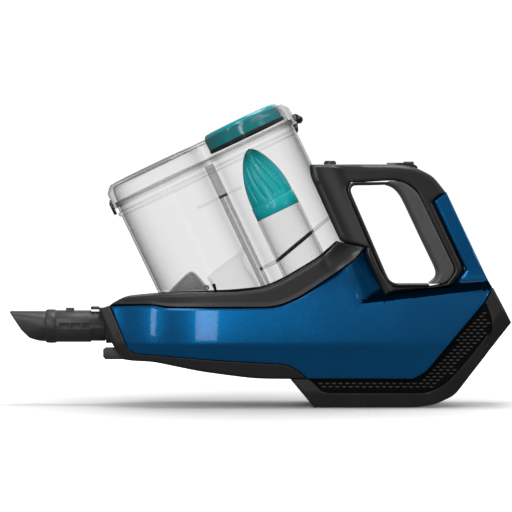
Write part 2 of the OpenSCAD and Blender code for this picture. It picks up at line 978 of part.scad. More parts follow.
module lid_cover() {
  skirt_low = cup_top - 2.5;
  color("lightgray") difference() {
    union() {
      bin_prism(3.4, skirt_low, lid_shoulder);
      bin_prism(-2.5, lid_shoulder, lid_top);
      lid_knuckle();
    }
    bin_prism(0.8, skirt_low - 1, gasket_high);
    bin_prism(-clear_wall, skirt_low, lid_shoulder - 2.4);
    bin_prism(-5, skirt_low, lid_top - 2.4);
    in_bin() translate([cap_x, 0, cap_low - 3]) cylinder(h = 40, r = cap_r);
    in_bin() translate([hinge_x, lug_half, hinge_level]) rotate([90, 0, 0])
      cylinder(h = 2 * lug_half, r = hinge_pin_r + pin_gap);
  }
}

module lid_knuckle() {
  skirt_x = rear_lobe_x + rear_lobe_r + 1.2;
  in_bin() union() {
    translate([hinge_x, knuckle_half, hinge_level]) rotate([90, 0, 0])
      cylinder(h = 2 * knuckle_half, r = knuckle_r);
    translate([skirt_x, -knuckle_half, hinge_level]) cube([hinge_x - skirt_x, 2 * knuckle_half, 8]);
  }
}

module lid_gasket() {
  color("black") in_bin() translate([0, 0, gasket_low]) linear_extrude(height = gasket_high - gasket_low)
    difference() {
      lobes(0.2);
      lobes(-clear_wall);
    }
}

module cyclone_cap() {
  color("darkcyan") in_bin() translate([cap_x, 0, cap_low]) difference() {
    cylinder(h = cap_top - cap_low, r = cap_r - 0.1);
    translate([0, 0, -1]) cylinder(h = cap_top - cap_low - 1.6, r = cap_r - 2.6);
  }
}

module cap_seal() {
  color("black") in_bin() translate([cap_x, 0, cap_low - 3]) difference() {
    cylinder(h = 3, r = cap_r - 0.1);
    translate([0, 0, -1]) cylinder(h = 5, r = cap_r - 5);
  }
}

// Catch on the front of the lid, hooked over the front of the cup rim
module lid_catch() {
  front = front_lobe_x - front_lobe_r;
  color("dimgray") in_bin() side(16) polygon([[front - 3.4, cup_top + 8], [front - 6, cup_top + 4],
    [front - 6, cup_top - 8], [front - 3.4, cup_top - 8]]);
}

body_shell_left();
body_shell_right();
saddle();
nose_frame();
belly_cover();
tail_frame();
exhaust_grille_left();
exhaust_grille_right();
handle_shell_left();
handle_shell_right();
grip_liner();
window_trim();
switch_bezel();
power_slider();
bin_release_button();
bin_release_spring();
tool_release_button();
tool_socket();
inlet_elbow();
connector_stub();
contact_pins();
motor_can();
motor_stator();
fan_shroud();
motor_cradle();
motor_mount_front();
motor_mount_rear();
rotor_shaft();
fan_impeller();
filter_frame();
filter_foam();
battery_cradle();
battery_cell_1();
battery_cell_2();
battery_cell_3();
battery_cell_4();
battery_cell_5();
battery_cell_6();
battery_cell_7();
control_board();
body_screws();
dust_cup();
bin_divider();
baffle_plate();
bin_inlet_duct();
vortex_tube();
cyclone_floor();
cyclone_cone();
flap_pin();
inlet_flap();
lid_hinge_pin();
lid_cover();
lid_gasket();
cyclone_cap();
cap_seal();
lid_catch();
tool_tip();
tool_collar();
tool_sleeve();
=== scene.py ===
import json
import logging
import math
from dataclasses import dataclass, field
from enum import Enum
from typing import Callable, Dict, List, Optional, Sequence, Tuple

import bmesh
import bpy
from mathutils import Matrix, Vector


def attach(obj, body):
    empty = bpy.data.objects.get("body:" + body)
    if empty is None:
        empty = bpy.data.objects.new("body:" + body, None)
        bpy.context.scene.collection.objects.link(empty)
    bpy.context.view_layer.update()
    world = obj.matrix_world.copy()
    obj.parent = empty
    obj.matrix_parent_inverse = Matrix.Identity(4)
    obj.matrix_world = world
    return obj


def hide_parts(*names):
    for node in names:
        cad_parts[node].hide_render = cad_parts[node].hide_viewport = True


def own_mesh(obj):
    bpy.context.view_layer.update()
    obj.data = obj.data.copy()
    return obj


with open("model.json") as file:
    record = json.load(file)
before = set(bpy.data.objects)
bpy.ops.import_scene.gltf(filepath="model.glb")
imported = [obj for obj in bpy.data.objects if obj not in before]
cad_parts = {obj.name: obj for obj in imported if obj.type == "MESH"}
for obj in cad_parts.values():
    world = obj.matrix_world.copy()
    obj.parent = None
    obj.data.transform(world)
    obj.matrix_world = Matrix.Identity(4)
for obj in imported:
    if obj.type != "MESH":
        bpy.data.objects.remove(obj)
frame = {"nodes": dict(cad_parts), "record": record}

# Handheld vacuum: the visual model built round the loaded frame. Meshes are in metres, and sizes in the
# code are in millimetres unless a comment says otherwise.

LOG = logging.getLogger("handheld_vacuum")
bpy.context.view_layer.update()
MM = 0.001

Point2 = Tuple[float, float]
Point3 = Tuple[float, float, float]
Ring = List[Point3]


class Side(Enum):
    """The two sides of the machine, by the sign of Y."""

    LEFT = -1
    RIGHT = 1


class Body(Enum):
    """The moving bodies that pieces ride on."""

    HOUSING = "housing"
    BIN = "bin"
    LID = "lid"
    FLAP = "flap"
    TOOL = "crevice_tool"
    SLIDER = "slider"
    BIN_BUTTON = "bin_button"
    TOOL_BUTTON = "tool_button"
    ROTOR = "rotor"


# ---- Side view landmarks, in millimetres: along the length, then height ----

NOSE_MID = (-129.5, 57.0)
NOSE_LOW = (-123.0, 53.0)
SOLE_END = (151.0, 28.7)
SOLE_TURN = (163.0, 34.5)
TAIL_NOTCH = (222.0, 103.8)
BACK_FOOT = (230.5, 119.0)
BACK_TOP = (186.2, 212.7)
INLAY_TOP = (174.0, 203.5)
INLAY_KNEE = (206.0, 136.0)
SEAT_REAR = (193.3, 118.8)

BIN_TILT = math.radians(25.5)
TILT_COS = math.cos(BIN_TILT)
TILT_SIN = math.sin(BIN_TILT)
SEAT_LEVEL = 108.5
SEAT_BEND = 4.0
SEAT_SLOPE = math.tan(math.radians(31.0))
HINGE_U = 159.0
HINGE_W = 240.0
HINGE_R = 3.5


def from_bin(u: float, y: float, w: float) -> Point3:
    """Turn a place in the tilted bin frame into the machine's frame.

    Args:
        u: Distance back along the lid.
        y: Distance across.
        w: Distance up the bin axis.

    Returns:
        The place along, across and up, in millimetres.
    """
    return (TILT_COS * u - TILT_SIN * w, y, TILT_SIN * u + TILT_COS * w)


def to_bin(x: float, z: float) -> Point2:
    """Turn a side view place into the bin frame.

    Args:
        x: Place along the machine.
        z: Height.

    Returns:
        Distance back along the lid and up the bin axis.
    """
    return (TILT_COS * x + TILT_SIN * z, TILT_COS * z - TILT_SIN * x)


def hinge_eye(first: float) -> List[Point2]:
    """Return the lower run of the round eye on the lid's hinge pin, in the bin frame.

    Args:
        first: Angle of its first point, in degrees.

    Returns:
        Distances back and levels.
    """
    turns = [math.radians(first - 15 * i) for i in range(17)]
    return [(HINGE_U + HINGE_R * math.cos(a), HINGE_W + HINGE_R * math.sin(a)) for a in turns]


def blend_between(value: float, low: float, high: float) -> float:
    """Ease from 0 at low to 1 at high.

    Args:
        value: The place tested.
        low: Where the blend starts.
        high: Where it ends.

    Returns:
        The eased fraction.
    """
    t = min(1.0, max(0.0, (value - low) / (high - low)))
    return t * t * (3.0 - 2.0 * t)


def along_table(table: Sequence[Point2], x: float) -> float:
    """Read a piecewise straight table.

    Args:
        table: Pairs of place and value, in rising order.
        x: The place to read.

    Returns:
        The value at that place.
    """
    if x <= table[0][0]:
        return table[0][1]
    for (x0, v0), (x1, v1) in zip(table, table[1:]):
        if x <= x1:
            return v0 + (v1 - v0) * (x - x0) / (x1 - x0)
    return table[-1][1]


def edge_drop(distance: float, radius: float) -> float:
    """How far a rounded edge falls away at a distance in from the edge.

    Args:
        distance: Distance in from the edge.
        radius: Radius of the rounding.

    Returns:
        The fall, from the radius at the edge to nothing inside it.
    """
    if distance >= radius:
        return 0.0
    return radius - math.sqrt(max(0.0, radius * radius - (radius - distance) ** 2))


def lerp(a: Point2, b: Point2, t: float) -> Point2:
    """Return the point a fraction t of the way from a to b."""
    return (a[0] + (b[0] - a[0]) * t, a[1] + (b[1] - a[1]) * t)


def apart(a: Sequence[float], b: Sequence[float]) -> float:
    """Return the distance between two points."""
    return math.sqrt(sum((p - q) ** 2 for p, q in zip(a, b)))


def soften(points: List[Point2], pins: Sequence[int], rounds: int) -> List[Point2]:
    """Round a run of points a little, keeping its ends and its pinned points.

    Args:
        points: The run.
        pins: Indexes that stay where they are.
        rounds: How many passes of smoothing.

    Returns:
        The rounded run.
    """
    kept = set(pins) | {0, len(points) - 1}
    for _ in range(rounds):
        points = [
            p if i in kept else tuple(
                0.5 * p[k] + 0.25 * (points[i - 1][k] + points[i + 1][k]) for k in (0, 1))
            for i, p in enumerate(points)
        ]
    return points


# ---- Modelling bench ----


class Bench:
    """Modelling moves that every sub-assembly shares."""

    def only(self, *objects: bpy.types.Object) -> None:
        """Leave just these objects selected, the last one active.

        Args:
            objects: The objects.
        """
        if bpy.context.object and bpy.context.object.mode != "OBJECT":
            bpy.ops.object.mode_set(mode="OBJECT")
        bpy.ops.object.select_all(action="DESELECT")
        for obj in objects:
            obj.select_set(True)
            bpy.context.view_layer.objects.active = obj

    def settle(self, obj: bpy.types.Object, merge: float = 0.00001) -> None:
        """Merge doubles, then point every face outwards.

        Args:
            obj: The piece.
            merge: Distance under which vertices join.
        """
        self.only(obj)
        bpy.ops.object.mode_set(mode="EDIT")
        bpy.ops.mesh.select_all(action="SELECT")
        bpy.ops.mesh.remove_doubles(threshold=merge)
        bpy.ops.mesh.normals_make_consistent(inside=False)
        bpy.ops.object.mode_set(mode="OBJECT")

    def ring(self, name: str, points: Sequence[Point3]) -> bpy.types.Object:
        """Add a filled circle and set its points in place.

        Args:
            name: The new piece's name.
            points: Places in millimetres, in order round the ring.

        Returns:
            The new piece.
        """
        self.only()
        bpy.ops.mesh.primitive_circle_add(vertices=len(points), radius=1.0, fill_type="NGON")
        obj = bpy.context.object
        obj.name = name
        obj.data.name = name
        for vertex, point in zip(obj.data.vertices, points):
            vertex.co = Vector(point) * MM
        return obj

    def loft(self, name: str, rings: Sequence[Ring], closed: bool = False) -> bpy.types.Object:
        """Extrude a filled ring along a run of rings with the same count of points.

        Args:
            name: The new piece's name.
            rings: The rings, in millimetres.
            closed: Whether the last ring meets the first, so that no cap is left.

        Returns:
            The new piece.
        """
        obj = self.ring(name, rings[0])
        bpy.ops.object.mode_set(mode="EDIT")
        bpy.ops.mesh.select_all(action="SELECT")
        mesh = bmesh.from_edit_mesh(obj.data)
        order = mesh.verts.layers.int.new("ring_order")
        for i, vertex in enumerate(mesh.verts):
            vertex[order] = i
        for ring in rings[1:]:
            bpy.ops.mesh.extrude_region_move()
            mesh = bmesh.from_edit_mesh(obj.data)
            order = mesh.verts.layers.int["ring_order"]
            for vertex in mesh.verts:
                if vertex.select:
                    vertex.co = Vector(ring[vertex[order]]) * MM
            bmesh.update_edit_mesh(obj.data)
        if closed:
            mesh = bmesh.from_edit_mesh(obj.data)
            caps = [face for face in mesh.faces if len(face.verts) == len(rings[0])]
            bmesh.ops.delete(mesh, geom=caps, context="FACES_ONLY")
            bmesh.update_edit_mesh(obj.data)
        bpy.ops.object.mode_set(mode="OBJECT")
        obj.data.attributes.remove(obj.data.attributes["ring_order"])
        self.settle(obj)
        return obj

    def prism(self, name: str, outline: Sequence[Point2], y_low: float, y_high: float) -> bpy.types.Object:
        """Extrude a side view outline across the machine.

        Args:
            name: The new piece's name.
            outline: Side view points.
            y_low: One end.
            y_high: The other end.

        Returns:
            The new piece.
        """
        return self.loft(name, [[(x, y, z) for x, z in outline] for y in (y_low, y_high)])

    def lathe(self, name: str, profile: Sequence[Point2], place: Callable[[float, float, float], Point3],
              steps: int = 96, closed: bool = False) -> bpy.types.Object:
        """Turn a profile of radius and level round an axis.

        Args:
            name: The new piece's name.
            profile: Pairs of radius and level; a radius of nothing closes the pole.
            place: Maps two cross offsets and a level to the machine's frame.
            steps: Sides round the turn.
            closed: Whether the profile runs back to its start, so that no cap is left.

        Returns:
            The new piece.
        """
        rings = []
        run = list(profile) + ([profile[0]] if closed else [])
        for radius, level in run:
            r = max(radius, 0.02)
            rings.append([place(r * math.cos(2 * math.pi * i / steps), r * math.sin(2 * math.pi * i / steps),
                                level)
                          for i in range(steps)])
        return self.loft(name, rings, closed)

    def carve(self, obj: bpy.types.Object, cutter: bpy.types.Object, keep: str = "DIFFERENCE") -> None:
        """Cut a piece with a tool piece and throw the tool away.

        Args:
            obj: The piece to cut.
            cutter: The tool.
            keep: The boolean's operation.
        """
        self.only(obj)
        cut = obj.modifiers.new("cut", "BOOLEAN")
        cut.operation = keep
        cut.solver = "EXACT"
        cut.object = cutter
        bpy.ops.object.modifier_apply(modifier=cut.name)
        bpy.data.objects.remove(cutter, do_unlink=True)

    def bevel(self, obj: bpy.types.Object, width: float, segments: int = 2, angle: float = 35.0) -> None:
        """Round the sharp edges.

        Args:
            obj: The piece.
            width: Width of the rounding, in millimetres.
            segments: Steps in it.
            angle: Edges sharper than this many degrees are rounded.
        """
        self.only(obj)
        edge = obj.modifiers.new("edge", "BEVEL")
        edge.width = width * MM
        edge.segments = segments
        edge.limit_method = "ANGLE"
        edge.angle_limit = math.radians(angle)
        bpy.ops.object.modifier_apply(modifier=edge.name)

    def copied(self, node: str, name: str) -> bpy.types.Object:
        """Copy a loaded node as a new piece.

        Args:
            node: The loaded node.
            name: The new piece's name.

        Returns:
            The new piece.
        """
        obj = bpy.data.objects.new(name, frame["nodes"][node].data.copy())
        bpy.context.scene.collection.objects.link(obj)
        obj.data.materials.clear()
        self.settle(obj)
        return obj

    def refined(self, node: str, name: str, width: float, segments: int = 2) -> bpy.types.Object:
        """Copy a loaded node, join its loose triangles and round its edges.

        Args:
            node: The loaded node.
            name: The new piece's name.
            width: Width of the rounding, in millimetres.
            segments: Steps in it.

        Returns:
            The new piece.
        """
        obj = self.copied(node, name)
        bpy.ops.object.mode_set(mode="EDIT")
        bpy.ops.mesh.select_all(action="SELECT")
        bpy.ops.mesh.dissolve_limited(angle_limit=math.radians(1.0))
        bpy.ops.object.mode_set(mode="OBJECT")
        self.bevel(obj, width, segments)
        return obj

    def smooth(self, obj: bpy.types.Object, angle: float = 32.0) -> None:
        """Shade smooth, keeping edges sharper than an angle."""
        self.only(obj)
        bpy.ops.object.shade_smooth_by_angle(angle=math.radians(angle))

    def finish(self, obj: bpy.types.Object, finish: "Finish", body: Body, nodes: Sequence[str] = (),
               angle: float = 32.0) -> bpy.types.Object:
        """Smooth a piece, dress it, put it on its body and take its nodes' place.

        Args:
            obj: The piece.
            finish: Its finish.
            body: The body it rides on.
            nodes: The loaded nodes that it stands in for.
            angle: Edges sharper than this stay sharp.

        Returns:
            The same piece.
        """
        self.smooth(obj, angle)
        obj.data.materials.clear()
        obj.data.materials.append(finish.material())
        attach(obj, body.value)
        if nodes:
            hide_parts(*nodes)
        LOG.info("%s: %d faces on %s", obj.name, len(obj.data.polygons), body.value)
        return obj


@dataclass(frozen=True)
class Rib:
    """A straight line across a panel in side view, from its low edge to its high edge."""

    low: Point2
    high: Point2
    sharp: bool = False


@dataclass
class RuledForm:
    """A panel swept along ribs, with its depth across given by a shape function."""

    name: str
    ribs: Sequence[Rib]
    depth: Callable[[float, float], float]
    gap: float = 4.0
    rows: int = 22
    low_round: float = 2.0
    high_round: float = 2.0
    side: Optional[Side] = None
    closed: bool = False
    rounds: int = 3
    creases: Sequence[Callable[[float, float], float]] = ()
    lip: float = 0.0

    def stations(self) -> List[Tuple[Point2, Point2]]:
        """Fill in the ribs at an even gap and round the two edge curves.

        Returns:
            Pairs of a low place and a high place, in order.
        """
        lows: List[Point2] = []
        highs: List[Point2] = []
        pins: List[int] = []
        for a, b in zip(self.ribs, self.ribs[1:]):
            steps = max(1, math.ceil(max(apart(a.low, b.low), apart(a.high, b.high)) / self.gap))
            if a.sharp:
                pins.append(len(lows))
            for i in range(steps):
                lows.append(lerp(a.low, b.low, i / steps))
                highs.append(lerp(a.high, b.high, i / steps))
        lows.append(self.ribs[-1].low)
        highs.append(self.ribs[-1].high)
        return list(zip(soften(lows, pins, self.rounds), soften(highs, pins, self.rounds)))

    def fractions(self, low: Point2, high: Point2) -> List[float]:
        """Rows up one rib: close together at the rounded edges, and one on each crease.

        Args:
            low: The low edge.
            high: The high edge.

        Returns:
            The rows, as fractions of the rib.
        """
        span = max(apart(low, high), 0.1)
        marks = []
        for crease in self.creases:
            f0, f1 = crease(*low), crease(*high)
            if (f0 < 0) != (f1 < 0):
                marks.append(f0 / (f0 - f1))
            else:
                marks.append(0.0 if f0 > 0 else 1.0)
        edge_low = [min(0.3, self.low_round / span) * k for k in (0.0, 0.12, 0.4, 1.0)]
        edge_high = [1.0 - min(0.3, self.high_round / span) * k for k in (1.0, 0.4, 0.12, 0.0)]
        inner = [edge_low[-1]]
        for i, mark in enumerate(marks):
            floor = edge_low[-1] + 0.06 * (i + 1)
            inner.append(min(edge_high[0] - 0.06 * (len(marks) - i), max(floor, inner[-1] + 0.04, mark)))
        inner.append(edge_high[0])
        per = max(2, self.rows // (len(inner) - 1))
        rows = edge_low[:-1]
        for a, b in zip(inner, inner[1:]):
            rows += [a + (b - a) * i / per for i in range(per)]
        return rows + edge_high

    def curve(self, low: Point2, high: Point2) -> Ring:
        """One rib's outer curve on the right side, from its low edge to its high edge.

        Args:
            low: The low edge.
            high: The high edge.

        Returns:
            The ring's points.
        """
        span = apart(low, high)
        out = []
        for t in self.fractions(low, high):
            x, z = lerp(low, high, t)
            y = self.depth(x, z)
            y -= edge_drop(t * span, self.low_round) + edge_drop((1 - t) * span, self.high_round)
            y += self.lip * (1 - blend_between(t * span, 0.4 * self.low_round, 1.4 * self.low_round))
            out.append((x, max(y, 0.6), z))
        return out

    def build(self, bench: Bench) -> bpy.types.Object:
        """Loft the sections.

        Args:
            bench: The bench to work on.

        Returns:
            The new piece.
        """
        rings = []
        for low, high in self.stations():
            curve = self.curve(low, high)
            if self.side is None:
                ring = curve + [(x, -y, z) for x, y, z in reversed(curve)]
            else:
                sign = self.side.value
                ring = [(x, sign * y, z) for x, y, z in curve]
                ring += [(high[0], sign * 0.15, high[1]), (low[0], sign * 0.15, low[1])]
            rings.append(ring)
        if self.closed:
            rings.append(rings[0])
        return bench.loft(self.name, rings, self.closed)


# ---- Finishes ----


class NodeSketch:
    """A small helper that lays out one material's nodes."""

    def __init__(self, name: str) -> None:
        """Start a material with its shader and output.

        Args:
            name: The material's name.
        """
        self.mat = bpy.data.materials.new(name)
        self.mat.use_nodes = True
        self.tree = self.mat.node_tree
        self.shader = self.tree.nodes["Principled BSDF"]
        self.place = self.add("ShaderNodeTexCoord").outputs["Object"]

    def add(self, kind: str, **values: object) -> bpy.types.Node:
        """Add a node and set its properties and unlinked inputs.

        Args:
            kind: The node's type.
            **values: Property or input names and their values.

        Returns:
            The new node.
        """
        node = self.tree.nodes.new(kind)
        for key, value in values.items():
            if hasattr(node, key):
                setattr(node, key, value)
            else:
                node.inputs[key.replace("_", " ")].default_value = value
        return node

    def link(self, source: bpy.types.NodeSocket, target: bpy.types.NodeSocket) -> None:
        """Join two sockets."""
        self.tree.links.new(source, target)

    def noise(self, scale: float, detail: float = 3.0, stretch: Point3 = (1, 1, 1)) -> bpy.types.NodeSocket:
        """Add a noise pattern on the object's own place.

        Args:
            scale: Patches in a metre.
            detail: Octaves.
            stretch: Scale along each axis.

        Returns:
            The noise value.
        """
        mapping = self.add("ShaderNodeMapping")
        mapping.inputs["Scale"].default_value = stretch
        self.link(self.place, mapping.inputs["Vector"])
        noise = self.add("ShaderNodeTexNoise", Scale=scale, Detail=detail)
        self.link(mapping.outputs["Vector"], noise.inputs["Vector"])
        return noise.outputs["Fac"]

    def ramp(self, value: bpy.types.NodeSocket,
             stops: Sequence[Tuple[float, Sequence[float]]]) -> bpy.types.NodeSocket:
        """Turn a value into a colour.

        Args:
            value: The value.
            stops: Places and colours.

        Returns:
            The colour.
        """
        ramp = self.add("ShaderNodeValToRGB")
        while len(ramp.color_ramp.elements) < len(stops):
            ramp.color_ramp.elements.new(0.5)
        for element, (at, colour) in zip(ramp.color_ramp.elements, stops):
            element.position = at
            element.color = (*colour, 1.0)
        self.link(value, ramp.inputs["Fac"])
        return ramp.outputs["Color"]

    def spread(self, value: bpy.types.NodeSocket, low: float, high: float, start: float = 0.0,
               end: float = 1.0) -> bpy.types.NodeSocket:
        """Map a value between two limits.

        Args:
            value: The value.
            low: What the start becomes.
            high: What the end becomes.
            start: The value at or below which it is low.
            end: The value at or above which it is high.

        Returns:
            The new value.
        """
        node = self.add("ShaderNodeMapRange", From_Min=start, From_Max=end, To_Min=low, To_Max=high)
        self.link(value, node.inputs["Value"])
        return node.outputs["Result"]

    def mix(self, factor: bpy.types.NodeSocket, a: object, b: object,
            how: str = "MIX") -> bpy.types.NodeSocket:
        """Mix two colours.

        Args:
            factor: How much of the second.
            a: A colour or socket.
            b: A colour or socket.
            how: The blend type.

        Returns:
            The mixed colour.
        """
        node = self.add("ShaderNodeMix", data_type="RGBA", blend_type=how)
        self.link(factor, node.inputs["Factor"])
        for name, value in (("A", a), ("B", b)):
            socket = next(s for s in node.inputs if s.name == name and s.type == "RGBA")
            if isinstance(value, bpy.types.NodeSocket):
                self.link(value, socket)
            else:
                socket.default_value = (*value, 1.0)
        return next(s for s in node.outputs if s.type == "RGBA")

    def wear(self) -> bpy.types.NodeSocket:
        """Return a value that rises along worn outer edges."""
        geometry = self.add("ShaderNodeNewGeometry")
        return self.spread(geometry.outputs["Pointiness"], 0.0, 1.0, 0.52, 0.62)

    def bump(self, height: bpy.types.NodeSocket, strength: float, distance: float) -> None:
        """Raise the surface by a height pattern.

        Args:
            height: The pattern.
            strength: How strongly it shows.
            distance: Its depth, in metres.
        """
        node = self.add("ShaderNodeBump", Strength=strength, Distance=distance)
        self.link(height, node.inputs["Height"])
        self.link(node.outputs["Normal"], self.shader.inputs["Normal"])


@dataclass(frozen=True)
class Finish:
    """A moulded plastic: even colour with faint mottle, fine grain and paler worn edges."""

    slot: str
    colour: Point3
    roughness: float = 0.4
    grain: float = 900.0
    grain_depth: float = 0.00004
    mottle: float = 0.12
    edge: float = 0.35
    metal: float = 0.0
    coat: float = 0.0
    coat_roughness: float = 0.1
    specular: float = 0.5

    def tint(self, factor: float) -> Point3:
        """Return the colour made lighter or darker."""
        return tuple(min(1.0, c * factor) for c in self.colour)

    def material(self) -> bpy.types.Material:
        """Return this finish's material, made once.

        Returns:
            The material.
        """
        name = "finish_" + self.slot
        if name in bpy.data.materials:
            return bpy.data.materials[name]
        sketch = NodeSketch(name)
        self.dress(sketch)
        return sketch.mat

    def dress(self, sketch: NodeSketch) -> None:
        """Lay out the nodes.

        Args:
            sketch: The material's sketch.
        """
        shader = sketch.shader
        mottle = sketch.noise(55.0, 4.0)
        base = sketch.ramp(mottle, [(0.3, self.tint(1.0 - self.mottle)), (0.7, self.tint(1.0 + self.mottle))])
        pale = tuple(min(1.0, c * (1.0 + 1.5 * self.edge) + 0.03 * self.edge) for c in self.colour)
        sketch.link(sketch.mix(sketch.wear(), base, pale), shader.inputs["Base Color"])
        grain = sketch.noise(self.grain, 2.0)
        sketch.link(sketch.spread(mottle, self.roughness - 0.06, self.roughness + 0.06),
                    shader.inputs["Roughness"])
        shader.inputs["Metallic"].default_value = self.metal
        shader.inputs["Specular IOR Level"].default_value = self.specular
        shader.inputs["Coat Weight"].default_value = self.coat
        shader.inputs["Coat Roughness"].default_value = self.coat_roughness
        sketch.bump(grain, 0.35, self.grain_depth)


@dataclass(frozen=True)
class PaintFinish(Finish):
    """A glossy metallic paint: flakes under a clear coat, with painted shade that darkens and dulls it where
    it faces up, as on the shoulder ledge.
    """

    flake: float = 2600.0

    def dress(self, sketch: NodeSketch) -> None:
        """Lay out the nodes.

        Args:
            sketch: The material's sketch.
        """
        shader = sketch.shader
        drift = sketch.noise(14.0, 3.0)
        base = sketch.ramp(drift, [(0.3, self.tint(0.88)), (0.7, self.tint(1.12))])
        cell = sketch.add("ShaderNodeTexVoronoi", Scale=self.flake)
        sketch.link(sketch.place, cell.inputs["Vector"])
        glint = sketch.ramp(cell.outputs["Distance"], [(0.0, self.tint(1.5)), (0.35, self.tint(1.0)),
                                                       (1.0, self.tint(0.85))])
        flaked = sketch.mix(sketch.spread(drift, 0.3, 0.4), base, glint)
        # Painted shade: where the paint faces up it turns to a near-black tint and loses its metal, specular
        # and coat.
        ledge_shade = self.ledge_shade(sketch)
        painted = sketch.mix(sketch.wear(), flaked, self.tint(1.7))
        sketch.link(sketch.mix(ledge_shade, painted, self.tint(0.03)), shader.inputs["Base Color"])
        sketch.link(sketch.spread(sketch.noise(120.0, 3.0), self.roughness - 0.04, self.roughness + 0.05),
                    shader.inputs["Roughness"])
        sketch.link(sketch.spread(ledge_shade, self.metal, 0.0), shader.inputs["Metallic"])
        sketch.link(sketch.spread(ledge_shade, self.specular, 0.0), shader.inputs["Specular IOR Level"])
        shader.inputs["Specular Tint"].default_value = (0.05, 0.6, 1.0, 1.0)
        sketch.link(sketch.spread(ledge_shade, self.coat, 0.0), shader.inputs["Coat Weight"])
        shader.inputs["Coat Roughness"].default_value = self.coat_roughness
        sketch.bump(sketch.noise(420.0, 2.0), 0.05, 0.00003)

    def ledge_shade(self, sketch: NodeSketch) -> bpy.types.NodeSocket:
        """Return the painted shade mask: it rises where the surface faces up, as on the shoulder ledge under
        the handle.

        Args:
            sketch: The material's sketch.

        Returns:
            How much painted shade the place gets.
        """
        slope = sketch.add("ShaderNodeSeparateXYZ")
        sketch.link(sketch.add("ShaderNodeNewGeometry").outputs["Normal"], slope.inputs["Vector"])
        return sketch.spread(slope.outputs["Z"], 0.0, 1.0, 0.2, 0.75)


@dataclass(frozen=True)
class ClearFinish(Finish):
    """A clear or tinted moulding: faint face on, denser where it is seen edge on, with painted shade
    darkening its creases.
    """

    face: float = 0.08
    rim: float = 0.75
    falloff: float = 2.0
    ripple: float = 0.00004

    def dress(self, sketch: NodeSketch) -> None:
        """Lay out the nodes.

        Args:
            sketch: The material's sketch.
        """
        shader = sketch.shader
        haze = sketch.noise(26.0, 3.0)
        base = sketch.ramp(haze, [(0.3, self.tint(0.94)), (0.7, self.tint(1.03))])
        # Painted shade: concave creases and inner corners, found by pointiness, are tinted near-black.
        hollow = sketch.add("ShaderNodeNewGeometry")
        shade = sketch.ramp(hollow.outputs["Pointiness"], [(0.42, self.tint(0.12)), (0.49, self.tint(1.0))])
        sketch.link(sketch.mix(sketch.spread(haze, 0.75, 0.85), base, shade), shader.inputs["Base Color"])
        look = sketch.add("ShaderNodeLayerWeight", Blend=0.35)
        facing = sketch.add("ShaderNodeMath", operation="POWER")
        facing.inputs[1].default_value = self.falloff
        sketch.link(look.outputs["Facing"], facing.inputs[0])
        sketch.link(sketch.spread(facing.outputs[0], self.face, self.rim), shader.inputs["Alpha"])
        sketch.link(sketch.spread(haze, self.roughness * 0.8, self.roughness * 1.3),
                    shader.inputs["Roughness"])
        shader.inputs["Coat Weight"].default_value = self.coat
        shader.inputs["Coat Roughness"].default_value = self.coat_roughness
        sketch.bump(sketch.noise(60.0, 2.0), 0.08, self.ripple)


@dataclass(frozen=True)
class BrushedFinish(Finish):
    """A drawn or turned metal: fine streaks along one direction."""

    streak: Point3 = (1.0, 40.0, 40.0)

    def dress(self, sketch: NodeSketch) -> None:
        """Lay out the nodes.

        Args:
            sketch: The material's sketch.
        """
        shader = sketch.shader
        streak = sketch.noise(60.0, 4.0, self.streak)
        sketch.link(sketch.ramp(streak, [(0.3, self.tint(0.8)), (0.7, self.tint(1.15))]),
                    shader.inputs["Base Color"])
        sketch.link(sketch.spread(streak, self.roughness - 0.08, self.roughness + 0.12),
                    shader.inputs["Roughness"])
        shader.inputs["Metallic"].default_value = self.metal
        sketch.bump(streak, 0.2, 0.00003)


@dataclass(frozen=True)
class FoamFinish(Finish):
    """An open foam: pores in a pale soft body."""

    def dress(self, sketch: NodeSketch) -> None:
        """Lay out the nodes.

        Args:
            sketch: The material's sketch.
        """
        shader = sketch.shader
        cell = sketch.add("ShaderNodeTexVoronoi", Scale=900.0)
        sketch.link(sketch.place, cell.inputs["Vector"])
        sketch.link(sketch.ramp(cell.outputs["Distance"], [(0.0, self.tint(0.35)), (0.4, self.tint(1.0))]),
                    shader.inputs["Base Color"])
        sketch.link(sketch.spread(cell.outputs["Distance"], 0.8, 0.95), shader.inputs["Roughness"])
        sketch.bump(cell.outputs["Distance"], 0.8, 0.0004)


